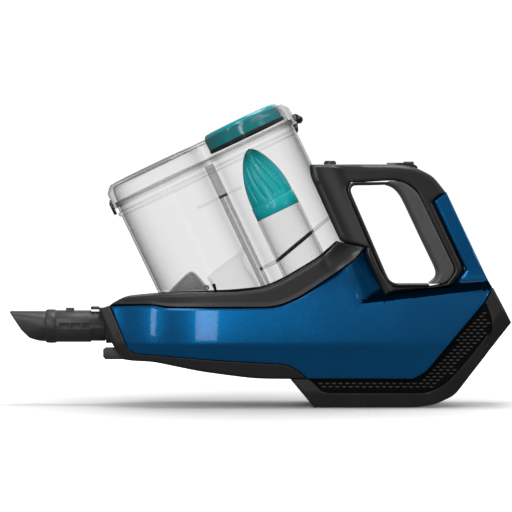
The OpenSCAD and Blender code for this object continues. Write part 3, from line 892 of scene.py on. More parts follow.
FINISHES: Dict[str, Finish] = {
    f.slot: f for f in (
        PaintFinish("blue_paint", (0.0, 0.13, 0.36), 0.27, metal=0.62, coat=0.5, coat_roughness=0.05,
                    specular=0.3),
        Finish("frame_grey", (0.026, 0.024, 0.0255), 0.4),
        Finish("handle_grey", (0.018, 0.0165, 0.018), 0.34, coat=0.15, coat_roughness=0.3),
        Finish("grip_grey", (0.12, 0.115, 0.118), 0.34, grain=1500.0, grain_depth=0.00008),
        Finish("trim_black", (0.012, 0.012, 0.013), 0.2, coat=0.4),
        Finish("button_grey", (0.04, 0.04, 0.042), 0.4),
        Finish("grille_black", (0.0015, 0.0015, 0.002), 0.6, edge=0.0, specular=0.1),
        Finish("tool_grey", (0.042, 0.041, 0.042), 0.42, grain=700.0, grain_depth=0.00006),
        Finish("inner_grey", (0.12, 0.12, 0.125), 0.5),
        Finish("soft_black", (0.012, 0.012, 0.012), 0.7, grain=1800.0),
        BrushedFinish("steel", (0.55, 0.55, 0.56), 0.28, metal=1.0),
        BrushedFinish("brass_contact", (0.75, 0.5, 0.2), 0.25, metal=1.0),
        BrushedFinish("can_metal", (0.6, 0.6, 0.62), 0.35, metal=1.0, streak=(40.0, 1.0, 1.0)),
        BrushedFinish("stator_iron", (0.12, 0.12, 0.125), 0.5, metal=0.8, streak=(90.0, 1.0, 1.0)),
        Finish("fan_plastic", (0.62, 0.62, 0.6), 0.4, edge=0.1),
        FoamFinish("foam_white", (0.8, 0.8, 0.77), 0.9),
        BrushedFinish("cell_wrap", (0.05, 0.16, 0.34), 0.35, metal=0.2, streak=(1.0, 30.0, 1.0)),
        Finish("board_green", (0.01, 0.1, 0.035), 0.35, mottle=0.4, coat=0.3),
        ClearFinish("clear_bin", (0.06, 0.064, 0.068), 0.08, coat=0.5, coat_roughness=0.05, face=0.07,
                    rim=0.95),
        ClearFinish("clear_inner", (0.07, 0.075, 0.08), 0.1, coat=0.3, face=0.035, rim=0.55, falloff=1.6),
        ClearFinish("clear_web", (0.09, 0.093, 0.098), 0.12, coat=0.3, face=0.2, rim=0.85, falloff=1.2),
        ClearFinish("seal_smoke", (0.03, 0.03, 0.032), 0.3, face=0.25, rim=0.6),
        ClearFinish("teal_cone", (0.0, 0.85, 0.9), 0.26, coat=0.4, face=0.98, rim=1.0),
        ClearFinish("teal_cap", (0.0, 0.4, 0.45), 0.12, coat=0.7, face=0.95, rim=1.0),
        ClearFinish("smoke_flap", (0.2, 0.205, 0.21), 0.2, coat=0.4, face=0.4, rim=0.9, falloff=1.4),
    )
}


# ---- Housing ----


@dataclass
class Housing:
    """Painted shells, saddle, nose, belly and tail frame."""

    plan: Sequence[Point2] = ((-161, 24.4), (-140, 29.9), (-118, 43.0), (-95, 52.5), (-75, 57.2), (-50, 59.6),
                              (-20, 60), (60, 60), (110, 59.4), (150, 58.2), (200, 53.6), (251, 48))
    crease_level: float = 63.0
    shoulder_start: float = 92.0
    shoulder_rise: float = 14.5
    shoulder_run: float = 130.0
    shoulder_depth: float = 21.0
    bore_r: float = 17.0
    bore_level: float = 78.9

    def width(self, x: float) -> float:
        """Return the half width of the body at a place along it, eased over the plan's corners."""
        near = [along_table(self.plan, x + step) for step in range(-12, 13, 4)]
        return sum(near) / len(near)

    def crease(self, x: float, z: float) -> float:
        """Return the height above the lower crease."""
        return z - self.crease_level

    def shoulder(self, x: float, z: float) -> float:
        """Return the height above the shoulder line."""
        return z - 102.0 - self.shoulder_rise * (x - self.shoulder_start) / self.shoulder_run

    def hull(self, x: float, z: float) -> float:
        """Return the half width of the body at a side view place.

        Args:
            x: Place along the machine.
            z: Height.

        Returns:
            The half width, in millimetres.
        """
        wide = self.width(x)
        if z < self.crease_level:
            lean = 0.26 - 0.16 * blend_between(x, 90.0, 180.0)
            wide -= lean * (self.crease_level - z)
        else:
            wide -= 3.0 * min(2.0, (z - self.crease_level) / 37.0) ** 2
        return max(wide, 8.0)

    def painted(self, x: float, z: float) -> float:
        """Return the half width of the painted shells, with the shoulders drawn in to the handle.

        Args:
            x: Place along the machine.
            z: Height.

        Returns:
            The half width, in millimetres.
        """
        wide = self.hull(x, z)
        above = self.shoulder(x, z)
        inward = blend_between(x, 94.0, 122.0)
        if above > 0 and inward > 0:
            t = min(1.0, above / 14.0)
            low = self.shoulder_depth + (wide - self.shoulder_depth) * (1.0 - t) ** 2.2
            wide += (low - wide) * inward
        return wide

    def shell_ribs(self) -> List[Rib]:
        """Ribs of one painted shell, from the nose along the body and up the back of the handle.

        Returns:
            The ribs, in order.
        """
        return [
            Rib((-146.9, 98.6), (-147.6, 100.4), True), Rib((-141, 84), (-136, 100.8)),
            Rib(NOSE_MID, (-115, 101.6), True), Rib(NOSE_LOW, (-104, 101.8), True),
            Rib((-98, 51.5), (-92.5, 99.5)), Rib((-49, 47.6), (-49, 99.3)), Rib((-21, 45.7), (-21, 99.3)),
            Rib((24.5, 43.4), (12, 99.6)), Rib((32, 40.6), (24, 102)), Rib((39.5, 36.5), (41, 109.6)),
            Rib((48, 28.7), (58, 121), True), Rib((72, 28.7), (82, 137.3)), Rib((82, 28.7), (95, 146)),
            Rib((90, 28.7), (105.6, 157.0), True), Rib((93, 28.7), (107.2, 152.5), True),
            Rib((100, 28.7), (114, 135)), Rib((112, 28.7), (124.5, 110.8), True),
            Rib((135, 28.7), (143, 112.7)),
            Rib(SOLE_END, (158, 114.7), True), Rib(SOLE_TURN, (168, 115.8)), Rib((192, 69), (180, 117.2)),
            Rib((212, 92.2), (188, 118.1)), Rib(TAIL_NOTCH, SEAT_REAR, True), Rib((227, 112.5), (200, 127.6)),
            Rib(BACK_FOOT, INLAY_KNEE, True), Rib((216.5, 148.5), (196.9, 155)),
            Rib((199, 185.5), (183, 184.5)),
            Rib(BACK_TOP, INLAY_TOP, True),
        ]

    def shell_depth(self, x: float, z: float) -> float:
        """Return the half width of a painted shell, narrowing to the inlay up the handle's back.

        Args:
            x: Place along the machine.
            z: Height.

        Returns:
            The half width, in millimetres.
        """
        wide = self.painted(x, z)
        strip = blend_between(z, 112.0, 140.0) * blend_between(x, 172.0, 186.0)
        u, _ = to_bin(x, z)
        strip_wide = 20.5 - edge_drop(max(0.0, (250.0 - 0.62 * (z - 119.0)) - x), 0.5)
        wide += (min(wide, strip_wide) - wide) * max(strip, blend_between(z, 124.0, 134.0) if x > 150
                                                     else 0.0)
        fin = blend_between(x, 84.0, 104.0) * blend_between(z, 112.0, 150.0) if x < 126 else 0.0
        return wide - 22.0 * fin

    def shell(self, bench: Bench, side: Side) -> bpy.types.Object:
        """Build one painted shell.

        Args:
            bench: The bench to work on.
            side: The side of the machine.

        Returns:
            The new piece.
        """
        form = RuledForm(
            "paint_shell_" + side.name.lower(), self.shell_ribs(), self.shell_depth, gap=4.0, rows=30,
            low_round=2.2, high_round=2.6, side=side, rounds=3,
            creases=(self.crease, self.shoulder))
        return form.build(bench)

    def saddle(self, bench: Bench) -> bpy.types.Object:
        """Build the dark saddle and cut the lobed seat and its air ports into it.

        Args:
            bench: The bench to work on.

        Returns:
            The new piece.
        """
        ribs = [
            Rib((-147.6, 100.7), (-147.2, 101.4), True), Rib((-138, 101.2), (-135, 108.5)),
            Rib((-104, 102), (-101.6, 111.4)), Rib((-92.5, 99.5), (-90, 111.8)), Rib((-28, 99.4), (-28, 114)),
            Rib((10.5, 99.5), (3, 117.2)), Rib((24, 102.2), (16, 122.2)), Rib((41, 110.2), (28.6, 128.5)),
            Rib((58, 121.3), (45, 138.2)), Rib((82, 137.6), (61, 147.9)), Rib((95, 146.4), (78, 163.7), True),
            Rib((104.8, 157.3), (104.4, 157.9)),
        ]

        def depth(x: float, z: float) -> float:
            """Return the half width of the saddle."""
            column = blend_between(x, 60.0, 96.0) * blend_between(z, 128.0, 158.0)
            return self.hull(x, min(z, 104.0)) - 0.5 - 30.0 * column

        form = RuledForm("saddle_cradle", ribs, depth, rows=10, low_round=2.4, high_round=2.4, rounds=4,
                         lip=1.1)
        saddle = form.build(bench)
        seat = [(-200, SEAT_LEVEL), (SEAT_BEND, SEAT_LEVEL), (200, SEAT_LEVEL + 196 * SEAT_SLOPE), (200, 330),
                (-200, 330)]
        cutter = Bin().prism(bench, "seat_tool", 0.6, 60.0, 300.0)
        bench.carve(cutter, bench.prism("seat_side", seat, -90, 90), "INTERSECT")
        bench.carve(saddle, cutter)
        for u, radius in ((28.0, 15.6), (100.7, 20.2)):
            port = bench.lathe("port_tool", [(0, 60), (radius, 60), (radius, 200), (0, 200)],
                               lambda a, b, w, u=u: from_bin(u + a, b, w), 64)
            bench.carve(saddle, port)
        return saddle

    def nose(self, bench: Bench) -> bpy.types.Object:
        """Build the dark nose round the socket and bore it.

        Args:
            bench: The bench to work on.

        Returns:
            The new piece.
        """
        ribs = [
            Rib((-159.2, 96.0), (-148.4, 99.6), True), Rib((-152.6, 78.6), (-140.4, 82)),
            Rib((-145.6, 61.4), (-132.6, 63.6)), Rib((-140, 53.8), (-129.6, 57.2)),
            Rib((-134, 46.6), (-124.2, 53.2), True), Rib((-124.6, 45.6), (-122.4, 52.7)),
        ]
        top = RuledForm("nose_cowl", ribs, lambda x, z: self.hull(x, z) + 0.2, gap=3.0, rows=8, low_round=3.5,
                        high_round=1.0, rounds=4).build(bench)
        bore = bench.lathe("bore_tool", [(0, -180), (self.bore_r, -180), (self.bore_r, -110), (0, -110)],
                           lambda a, b, x: (x, a, self.bore_level + b), 96)
        bench.carve(top, bore)
        return top

    def belly(self, bench: Bench) -> bpy.types.Object:
        """Build the belly cover under the painted shells.

        Args:
            bench: The bench to work on.

        Returns:
            The new piece.
        """
        ribs = [
            Rib((-124.7, 45.6), (-122.5, 52.7), True), Rib((-104, 45.1), (-98, 51.3)),
            Rib((-57, 35.9), (-49, 47.4)),
            Rib((-30, 32.2), (-21, 45.5)), Rib((-6, 29.3), (4, 44.2)), Rib((10, 28.7), (24.5, 43.2)),
            Rib((28, 28.6), (32, 40.4)), Rib((38, 28.6), (39.5, 36.3)), Rib((46, 28.5), (46.6, 29.4)),
        ]
        return RuledForm("belly_pan", ribs, lambda x, z: self.hull(x, z) - 0.4, rows=10, low_round=3.2,
                         high_round=0.8, rounds=4).build(bench)

    def tail(self, bench: Bench) -> bpy.types.Object:
        """Build the frame the machine stands on, round the grilles.

        Args:
            bench: The bench to work on.

        Returns:
            The new piece.
        """
        ribs = [
            Rib((31, 28.2), (49.3, 28.4), True), Rib((42, 15.2), (52.5, 25.8)),
            Rib((54.4, 0.0), (61.4, 16.9), True),
            Rib((64, 0.0), (66.6, 14.8)), Rib((110, 0.0), (112, 14.6)), Rib((154, 0.0), (160, 14.6)),
            Rib((174, 3.2), (168, 16.0)), Rib((193, 11.7), (180, 21.0)), Rib((204, 25.9), (190, 29.5)),
            Rib((226, 54.3), (208, 50)), Rib((249, 84), (229.6, 78), True), Rib((243, 95.4), (229.2, 88)),
            Rib((236, 108.5), (225.6, 97.6)), Rib((231, 118), (223, 103.8), True),
        ]

        def depth(x: float, z: float) -> float:
            """Return the half width of the frame, sloping in towards its outer edge.

            Args:
                x: Place along the machine.
                z: Height.

            Returns:
                The half width, in millimetres.
            """
            inner = min(49.5, self.hull(x, max(z, 28.7)) + 1.5) if x < 225 else 47.5
            nearest = 0.42 * (max(0.0, 14.6 - z) if x < 165 else self.outward(x, z))
            return min(inner, 49.5) - min(nearest, 8.0)

        return RuledForm("tail_stand", ribs, depth, rows=8, low_round=2.6, high_round=1.2,
                         rounds=3).build(bench)

    def outward(self, x: float, z: float) -> float:
        """Return the distance out past the grille's sloping rear edge."""
        ax, az, bx, bz = 168.0, 15.5, 230.0, 84.0
        return max(0.0, ((x - ax) * (bz - az) - (z - az) * (bx - ax)) / apart((ax, az), (bx, bz)))

    def grille(self, bench: Bench, side: Side) -> bpy.types.Object:
        """Build one exhaust grille: a dark panel covered in small raised lozenges.

        Args:
            bench: The bench to work on.
            side: The side of the machine.

        Returns:
            The new piece.
        """
        sign = side.value
        panel = [(50.5, 28.4), (61.8, 17.2), (66.8, 15.2), (162.3, 15.2), (177.4, 20.2), (193.4, 33.4),
                 (227, 74.2), (230, 83), (222.6, 103.2), (163.6, 34.0), (151.4, 28.3)]
        tucked = panel[:6] + [(228.5, 74.0), (231.5, 83.0), (224.6, 106.0), (162.4, 35.6), (150.8, 29.8)]
        obj = bench.prism("grille_" + side.name.lower(), tucked, sign * 43.5, sign * 46.0)
        stud = bench.ring("stud", [(2.4 * math.cos(a), 0, 0.95 * math.sin(a)) for a in
                                   [2 * math.pi * i / 10 for i in range(10)]])
        bpy.ops.object.mode_set(mode="EDIT")
        bpy.ops.mesh.select_all(action="SELECT")
        bpy.ops.mesh.extrude_region_move(TRANSFORM_OT_translate={"value": (0, sign * 1.0 * MM, 0)})
        bpy.ops.transform.resize(value=(0.8, 1.0, 0.6), center_override=(0, 0, 0))
        bpy.ops.mesh.select_all(action="SELECT")
        bpy.ops.mesh.normals_make_consistent(inside=False)
        bpy.ops.object.mode_set(mode="OBJECT")
        studs = []
        for x, z in self.stud_places(panel):
            copy = stud.copy()
            copy.data = stud.data.copy()
            bpy.context.scene.collection.objects.link(copy)
            copy.data.transform(Matrix.Translation(Vector((x, sign * 45.8, z)) * MM))
            studs.append(copy)
        bpy.data.objects.remove(stud, do_unlink=True)
        bench.only(*studs)
        bpy.ops.object.join()
        joined = bpy.context.object
        joined.name = "grille_studs_" + side.name.lower()
        bench.finish(joined, FINISHES["button_grey"], Body.HOUSING)
        return obj

    def stud_places(self, panel: Sequence[Point2]) -> List[Point2]:
        """Lay staggered rows of places inside the panel outline, clear of its edge.

        Args:
            panel: The panel's outline in side view.

        Returns:
            The places.
        """
        places = []
        for row in range(27):
            z = 17.6 + 3.3 * row
            for i in range(30):
                x = 54.0 + 6.6 * i + (3.3 if row % 2 else 0.0)
                if self.inside(panel, x, z, 2.9):
                    places.append((x, z))
        return places

    def inside(self, panel: Sequence[Point2], x: float, z: float, margin: float) -> bool:
        """Say whether a place lies inside an outline by a margin.

        Args:
            panel: The panel's outline in side view.
            x: Place along the machine.
            z: Height.
            margin: The least distance kept from the outline.

        Returns:
            Whether it does.
        """
        hit = False
        for (x0, z0), (x1, z1) in zip(panel, list(panel[1:]) + [panel[0]]):
            if (z0 > z) != (z1 > z) and x < (x1 - x0) * (z - z0) / (z1 - z0) + x0:
                hit = not hit
            span = apart((x0, z0), (x1, z1))
            t = max(0.0, min(1.0, ((x - x0) * (x1 - x0) + (z - z0) * (z1 - z0)) / span ** 2))
            if apart((x, z), (x0 + t * (x1 - x0), z0 + t * (z1 - z0))) < margin:
                return False
        return hit

    def build(self, bench: Bench) -> None:
        """Build and dress every piece of the housing.

        Args:
            bench: The bench to work on.
        """
        for side in Side:
            low = side.name.lower()
            bench.finish(self.shell(bench, side), FINISHES["blue_paint"], Body.HOUSING,
                         ["body_shell_" + low], 24.0)
            bench.finish(self.grille(bench, side), FINISHES["grille_black"], Body.HOUSING,
                         ["exhaust_grille_" + low])
        bench.finish(self.saddle(bench), FINISHES["frame_grey"], Body.HOUSING, ["saddle"])
        bench.finish(self.nose(bench), FINISHES["frame_grey"], Body.HOUSING, ["nose_frame"])
        bench.finish(self.belly(bench), FINISHES["frame_grey"], Body.HOUSING, ["belly_cover"])
        bench.finish(self.tail(bench), FINISHES["frame_grey"], Body.HOUSING, ["tail_frame"])


# ---- Bin and lid ----


@dataclass
class Bin:
    """The clear two-chamber cup with what stands in it."""

    front_u: float = 9.5
    front_r: float = 52.0
    rear_u: float = 103.5
    rear_r: float = 48.0
    neck_half: float = 24.0
    rim: float = 241.5
    wall: float = 2.2
    cone_u: float = 100.7
    cone_r: float = 23.0
    band_low: float = 166.4
    band_high: float = 179.6
    cone_length: float = 56.0
    grooves: int = 14

    def outline(self, grow: float, steps: int = 60) -> List[Point2]:
        """Return the lobed outline in the bin frame.

        Args:
            grow: How far it stands out from the cup's outside.
            steps: Points on each lobe.

        Returns:
            Points round the outline, as distance back and across.
        """
        points = []
        half = self.neck_half + grow
        for centre, radius, turn in ((self.front_u, self.front_r + grow, 0.0),
                                     (self.rear_u, self.rear_r + grow, math.pi)):
            start = math.asin(min(0.99, half / radius))
            for i in range(steps):
                angle = turn + start + (2 * math.pi - 2 * start) * i / (steps - 1)
                points.append((centre + radius * math.cos(angle), radius * math.sin(angle)))
        for _ in range(2):
            points = [tuple(0.6 * p[k] + 0.2 * (points[i - 1][k] + points[(i + 1) % len(points)][k])
                            for k in (0, 1))
                      if min(abs(i - c) for c in (0, 2 * steps, steps - 0.5)) < 2.6 else p
                      for i, p in enumerate(points)]
        return points

    def level_ring(self, grow: float, level: Callable[[float], float]) -> Ring:
        """Return the lobed outline laid at a level that may change along the bin."""
        return [from_bin(u, y, level(u)) for u, y in self.outline(grow)]

    def foot(self, u: float) -> float:
        """Return the level of the cup's underside, which follows the seat.

        Args:
            u: Distance back along the lid.

        Returns:
            The level, in millimetres.
        """
        start = SEAT_LEVEL + 0.4
        flat = (start - TILT_SIN * u) / TILT_COS
        slope = (start + SEAT_SLOPE * (TILT_COS * u - SEAT_BEND) - TILT_SIN * u) / (TILT_COS
                                                                                    + TILT_SIN * SEAT_SLOPE)
        return max(flat, slope)

    def prism(self, bench: Bench, name: str, grow: float, low: float, high: float) -> bpy.types.Object:
        """Build a plain lobed block between two levels, used as a cutting tool."""
        return bench.loft(name, [self.level_ring(grow, lambda u: low), self.level_ring(grow, lambda u: high)])

    def cup(self, bench: Bench) -> bpy.types.Object:
        """Build the cup: floor, thin wall, rolled rim and a raised band under the lid.

        Args:
            bench: The bench to work on.

        Returns:
            The new piece.
        """
        wall, rim, foot = self.wall, self.rim, self.foot
        rings = [
            self.level_ring(-20, lambda u: foot(u) + wall), self.level_ring(-wall - 3,
                                                                            lambda u: foot(u) + wall),
            self.level_ring(-wall - 0.8, lambda u: foot(u) + wall + 0.9),
            self.level_ring(-wall, lambda u: foot(u) + wall + 3),
            self.level_ring(-wall, lambda u: rim - 0.5), self.level_ring(-wall + 0.5, lambda u: rim),
            self.level_ring(-0.5, lambda u: rim), self.level_ring(0, lambda u: rim - 0.5),
            self.level_ring(0, lambda u: rim - 7.6), self.level_ring(2.0, lambda u: rim - 8.4),
            self.level_ring(2.2, lambda u: rim - 10), self.level_ring(2.0, lambda u: rim - 11.6),
            self.level_ring(0, lambda u: rim - 12.4), self.level_ring(0, lambda u: foot(u) + 3),
            self.level_ring(-0.8, lambda u: foot(u) + 0.9), self.level_ring(-3, foot),
            self.level_ring(-20, foot),
        ]
        return bench.loft("bin_cup", rings)

    def cone(self, bench: Bench) -> bpy.types.Object:
        """Build the teal cone: a plain band and an ogive with spiral grooves, hollow below.

        Args:
            bench: The bench to work on.

        Returns:
            The new piece.
        """
        steps = 224
        rings: List[Ring] = []

        def ring(radius: float, level: float, groove: float = 0.0, turn: float = 0.0) -> Ring:
            """One ring of the cone.

            Args:
                radius: Radius at this level.
                level: The level, or its rule along the bin.
                groove: Depth of the grooves.
                turn: How far the grooves have turned, in radians.

            Returns:
                The ring's points.
            """
            out = []
            for i in range(steps):
                angle = 2 * math.pi * i / steps
                cut = groove * max(0.0, 0.5 + 0.5 * math.cos(self.grooves * angle + turn)) ** 5
                r = max(0.05, radius - cut)
                out.append(from_bin(self.cone_u + r * math.cos(angle), r * math.sin(angle), level))
            return out

        rings.append(ring(0.05, self.band_high + self.cone_length - 3))
        for t in (0.9, 0.7, 0.35, 0.0):
            rings.append(ring((self.cone_r - 2.6) * (1 - t ** 1.9) ** 0.62,
                              self.band_high + t * (self.cone_length - 3)))
        rings += [ring(self.cone_r - 2.2, self.band_low), ring(self.cone_r - 0.5, self.band_low - 0.2),
                  ring(self.cone_r, self.band_low + 0.6), ring(self.cone_r, self.band_high - 0.4),
                  ring(self.cone_r - 0.5, self.band_high), ring(self.cone_r - 0.9, self.band_high + 0.3)]
        for i in range(1, 41):
            t = (i / 40) ** 0.85
            radius = (self.cone_r - 0.7) * max(0.0, 1 - t ** 1.9) ** 0.62
            groove = 1.5 * blend_between(t, 0.03, 0.1) * (1 - blend_between(t, 0.62, 0.84))
            rings.append(ring(radius, self.band_high + 0.5 + t * (self.cone_length - 0.5), groove, 9.5 * t))
        return bench.loft("spiral_cone", rings)

    def upright(self, bench: Bench, name: str, outline: Sequence[Point2], y_low: float,
                y_high: float) -> bpy.types.Object:
        """Extrude an outline of the bin frame across the machine.

        Args:
            bench: The bench to work on.
            name: The new piece's name.
            outline: Distances back and levels.
            y_low: One end.
            y_high: The other end.

        Returns:
            The new piece.
        """
        return bench.loft(name, [[from_bin(u, y, w) for u, w in outline] for y in (y_low, y_high)])

    def divider(self, bench: Bench) -> bpy.types.Object:
        """Build the flanged wall between the two chambers.

        Args:
            bench: The bench to work on.

        Returns:
            The new piece.
        """
        half, flange = 20.9, 19.7
        section = [(53, -half), (62.4, -half), (62.4, -flange), (59.4, -flange), (59.4, flange),
                   (62.4, flange),
                   (62.4, half), (53, half), (53, flange), (57, flange), (57, -flange), (53, -flange)]
        wall = bench.loft("divider_wall", [[from_bin(u, y, w if w > 150 else self.foot(u) + self.wall + 0.2)
                                            for u, y in section]
                                           for w in (120.0, 203.0, 238.0)])
        window = self.upright(bench, "divider_tool", [(50, 203), (66, 203), (66, 260), (50, 260)],
                              -flange - 0.05, flange + 0.05)
        bench.carve(wall, window)
        bench.bevel(wall, 0.35, 2, 50.0)
        return wall

    def duct(self, bench: Bench) -> bpy.types.Object:
        """Build the swept inlet duct with the lugs that hold the flap's pin.

        Args:
            bench: The bench to work on.

        Returns:
            The new piece.
        """
        curve = [(-43, 111.8), (-47, 120.5), (-51.8, 127.4), (-44, 134), (-35, 141.3), (-26.5, 147.3),
                 (-20.6, 151.8),
                 (-15.8, 158.2), (-15.2, 153.8), (-16.6, 148), (-15.2, 141.2), (-11, 134.2), (-5.4, 127),
                 (-1.0, 119), (2.4, 111.8)]
        inner = [(-41.2, 110), (-45.2, 120.2), (-49, 127.2), (-42.8, 132.6), (-33.8, 139.8), (-25.5, 145.8),
                 (-19.3, 150),
                 (-17.5, 152), (-18.2, 148.4), (-16.9, 140.7), (-12.5, 133.3), (-7, 126.1), (-2.7, 118.3),
                 (0.4, 110)]
        duct = bench.prism("inlet_duct", curve, -19, 19)
        bench.bevel(duct, 1.2, 3, 25.0)
        bench.carve(duct, bench.prism("duct_tool", inner, -17.4, 17.4))
        for sign in (-1, 1):
            lug = bench.prism("lug", [(-44, 121), (-42, 112.6), (-53.6, 112.6), (-54.9, 116), (-54.6, 119),
                                      (-52, 120.4),
                                      (-48, 120.8)], 14.2 * sign, 17.8 * sign)
            bench.bevel(lug, 0.4, 2, 30.0)
            bench.only(lug, duct)
            bpy.ops.object.join()
        return duct

    def hinge_lugs(self, bench: Bench) -> bpy.types.Object:
        """Build the two black lugs behind the cyclone chamber.

        Args:
            bench: The bench to work on.

        Returns:
            The new piece.
        """
        outline = [(151.2, 238.2), (155.6, 238.4)] + hinge_eye(90) + [(153.4, 230.6), (151.2, 230.2)]
        lugs = [self.upright(bench, "hinge_lug", outline, y0, y1) for y0, y1 in ((-14, -6.5), (6.5, 14))]
        bench.only(*lugs)
        bpy.ops.object.join()
        obj = bpy.context.object
        obj.name = "hinge_lugs"
        bench.bevel(obj, 0.5, 2, 40.0)
        return obj

    def build(self, bench: Bench) -> None:
        """Build and dress the cup and what stands in it.

        Args:
            bench: The bench to work on.
        """
        inner = FINISHES["clear_inner"]
        bench.finish(self.cup(bench), FINISHES["clear_bin"], Body.BIN, ["dust_cup"])
        bench.finish(self.hinge_lugs(bench), FINISHES["trim_black"], Body.BIN)
        bench.finish(self.cone(bench), FINISHES["teal_cone"], Body.BIN, ["cyclone_cone"], 60.0)
        bench.finish(self.divider(bench), FINISHES["clear_web"], Body.BIN, ["bin_divider"])
        bench.finish(self.duct(bench), inner, Body.BIN, ["bin_inlet_duct"])
        for node, name, width in (("baffle_plate", "baffle_shelf", 0.5), ("vortex_tube", "outlet_tube", 0.5),
                                  ("cyclone_floor", "chamber_floor", 0.5)):
            bench.finish(bench.refined(node, name, width), inner, Body.BIN, [node])


@dataclass
class Lid:
    """The clear lid with the teal cap let into it."""

    bin: Bin = field(default_factory=Bin)
    skirt: float = 239.0
    shoulder: float = 254.8
    top: float = 262.0
    cap_u: float = 105.3
    cap_r: float = 40.6

    def cover(self, bench: Bench) -> bpy.types.Object:
        """Build the chamfered cover and bore it for the cap.

        Args:
            bench: The bench to work on.

        Returns:
            The new piece.
        """
        def flat(grow: float, level: float) -> Ring:
            """One ring of the cover."""
            return self.bin.level_ring(grow, lambda u: level)

        top, shoulder, skirt = self.top, self.shoulder, self.skirt
        rings = [
            flat(-20, top - 2.6), flat(-5.5, top - 2.6), flat(-4.6, top - 3.2), flat(-2.4, shoulder - 1.4),
            flat(-2.2, 245.0), flat(-1.9, 244.2), flat(0.8, 244.0), flat(0.8, skirt + 0.4), flat(1.2, skirt),
            flat(3.0, skirt), flat(3.4, skirt + 0.4), flat(3.4, shoulder), flat(3.1, shoulder + 1.0),
            flat(2.2, shoulder + 2.0), flat(-1.6, top - 0.9), flat(-2.6, top - 0.2), flat(-4.0, top),
            flat(-20, top + 0.2),
        ]
        cover = bench.loft("lid_shell", rings)
        hole = bench.lathe("hole_tool", [(0, 246.5), (self.cap_r + 0.15, 246.5), (self.cap_r + 0.15, 280),
                                         (0, 280)],
                           lambda a, b, w: from_bin(self.cap_u + a, b, w), 96)
        bench.carve(cover, hole)
        return cover

    def cap(self, bench: Bench) -> bpy.types.Object:
        """Build the teal cap: a bowed ring with a dished top.

        Args:
            bench: The bench to work on.

        Returns:
            The new piece.
        """
        r = self.cap_r
        profile = [
            (0, 263.2), (r - 6, 263.0), (r - 3.2, 262.2), (r - 2.6, 260.5), (r - 2.6, 250.2),
            (r - 2.2, 249.8),
            (r - 0.6, 249.8), (r - 0.1, 250.4), (r, 254), (r, 258.5), (r - 0.3, 262), (r - 1.2, 264.4),
            (r - 2.8, 265.7),
            (r - 5, 266.0), (r - 6.6, 265.6), (r - 7.4, 264.9), (r - 9, 264.7), (0, 265.1),
        ]
        return bench.lathe("teal_cap", profile, lambda a, b, w: from_bin(self.cap_u + a, b, w), 120)

    def knuckle(self, bench: Bench) -> bpy.types.Object:
        """Build the black knuckle that carries the lid on its pin.

        Args:
            bench: The bench to work on.

        Returns:
            The new piece.
        """
        outline = [(155.0, 247.6), (158.6, 246.8), (160.6, 244)] + hinge_eye(60) + [(155.2, 239.6),
                                                                                    (155.0, 241)]
        knuckle = self.bin.upright(bench, "lid_knuckle", outline, -6, 6)
        bench.bevel(knuckle, 0.5, 2, 40.0)
        return knuckle

    def build(self, bench: Bench) -> None:
        """Build and dress the lid.

        Args:
            bench: The bench to work on.
        """
        bench.finish(self.knuckle(bench), FINISHES["trim_black"], Body.LID)
        bench.finish(self.cover(bench), FINISHES["clear_bin"], Body.LID, ["lid_cover"])
        bench.finish(self.cap(bench), FINISHES["teal_cap"], Body.LID, ["cyclone_cap"])
        for node, name, slot, width in (("lid_gasket", "gasket_ring", "seal_smoke", 0.4),
                                        ("cap_seal", "cap_ring", "soft_black", 0.4),
                                        ("lid_catch", "front_catch", "trim_black", 0.7)):
            bench.finish(bench.refined(node, name, width), FINISHES[slot], Body.LID, [node])


# ---- Handle ----


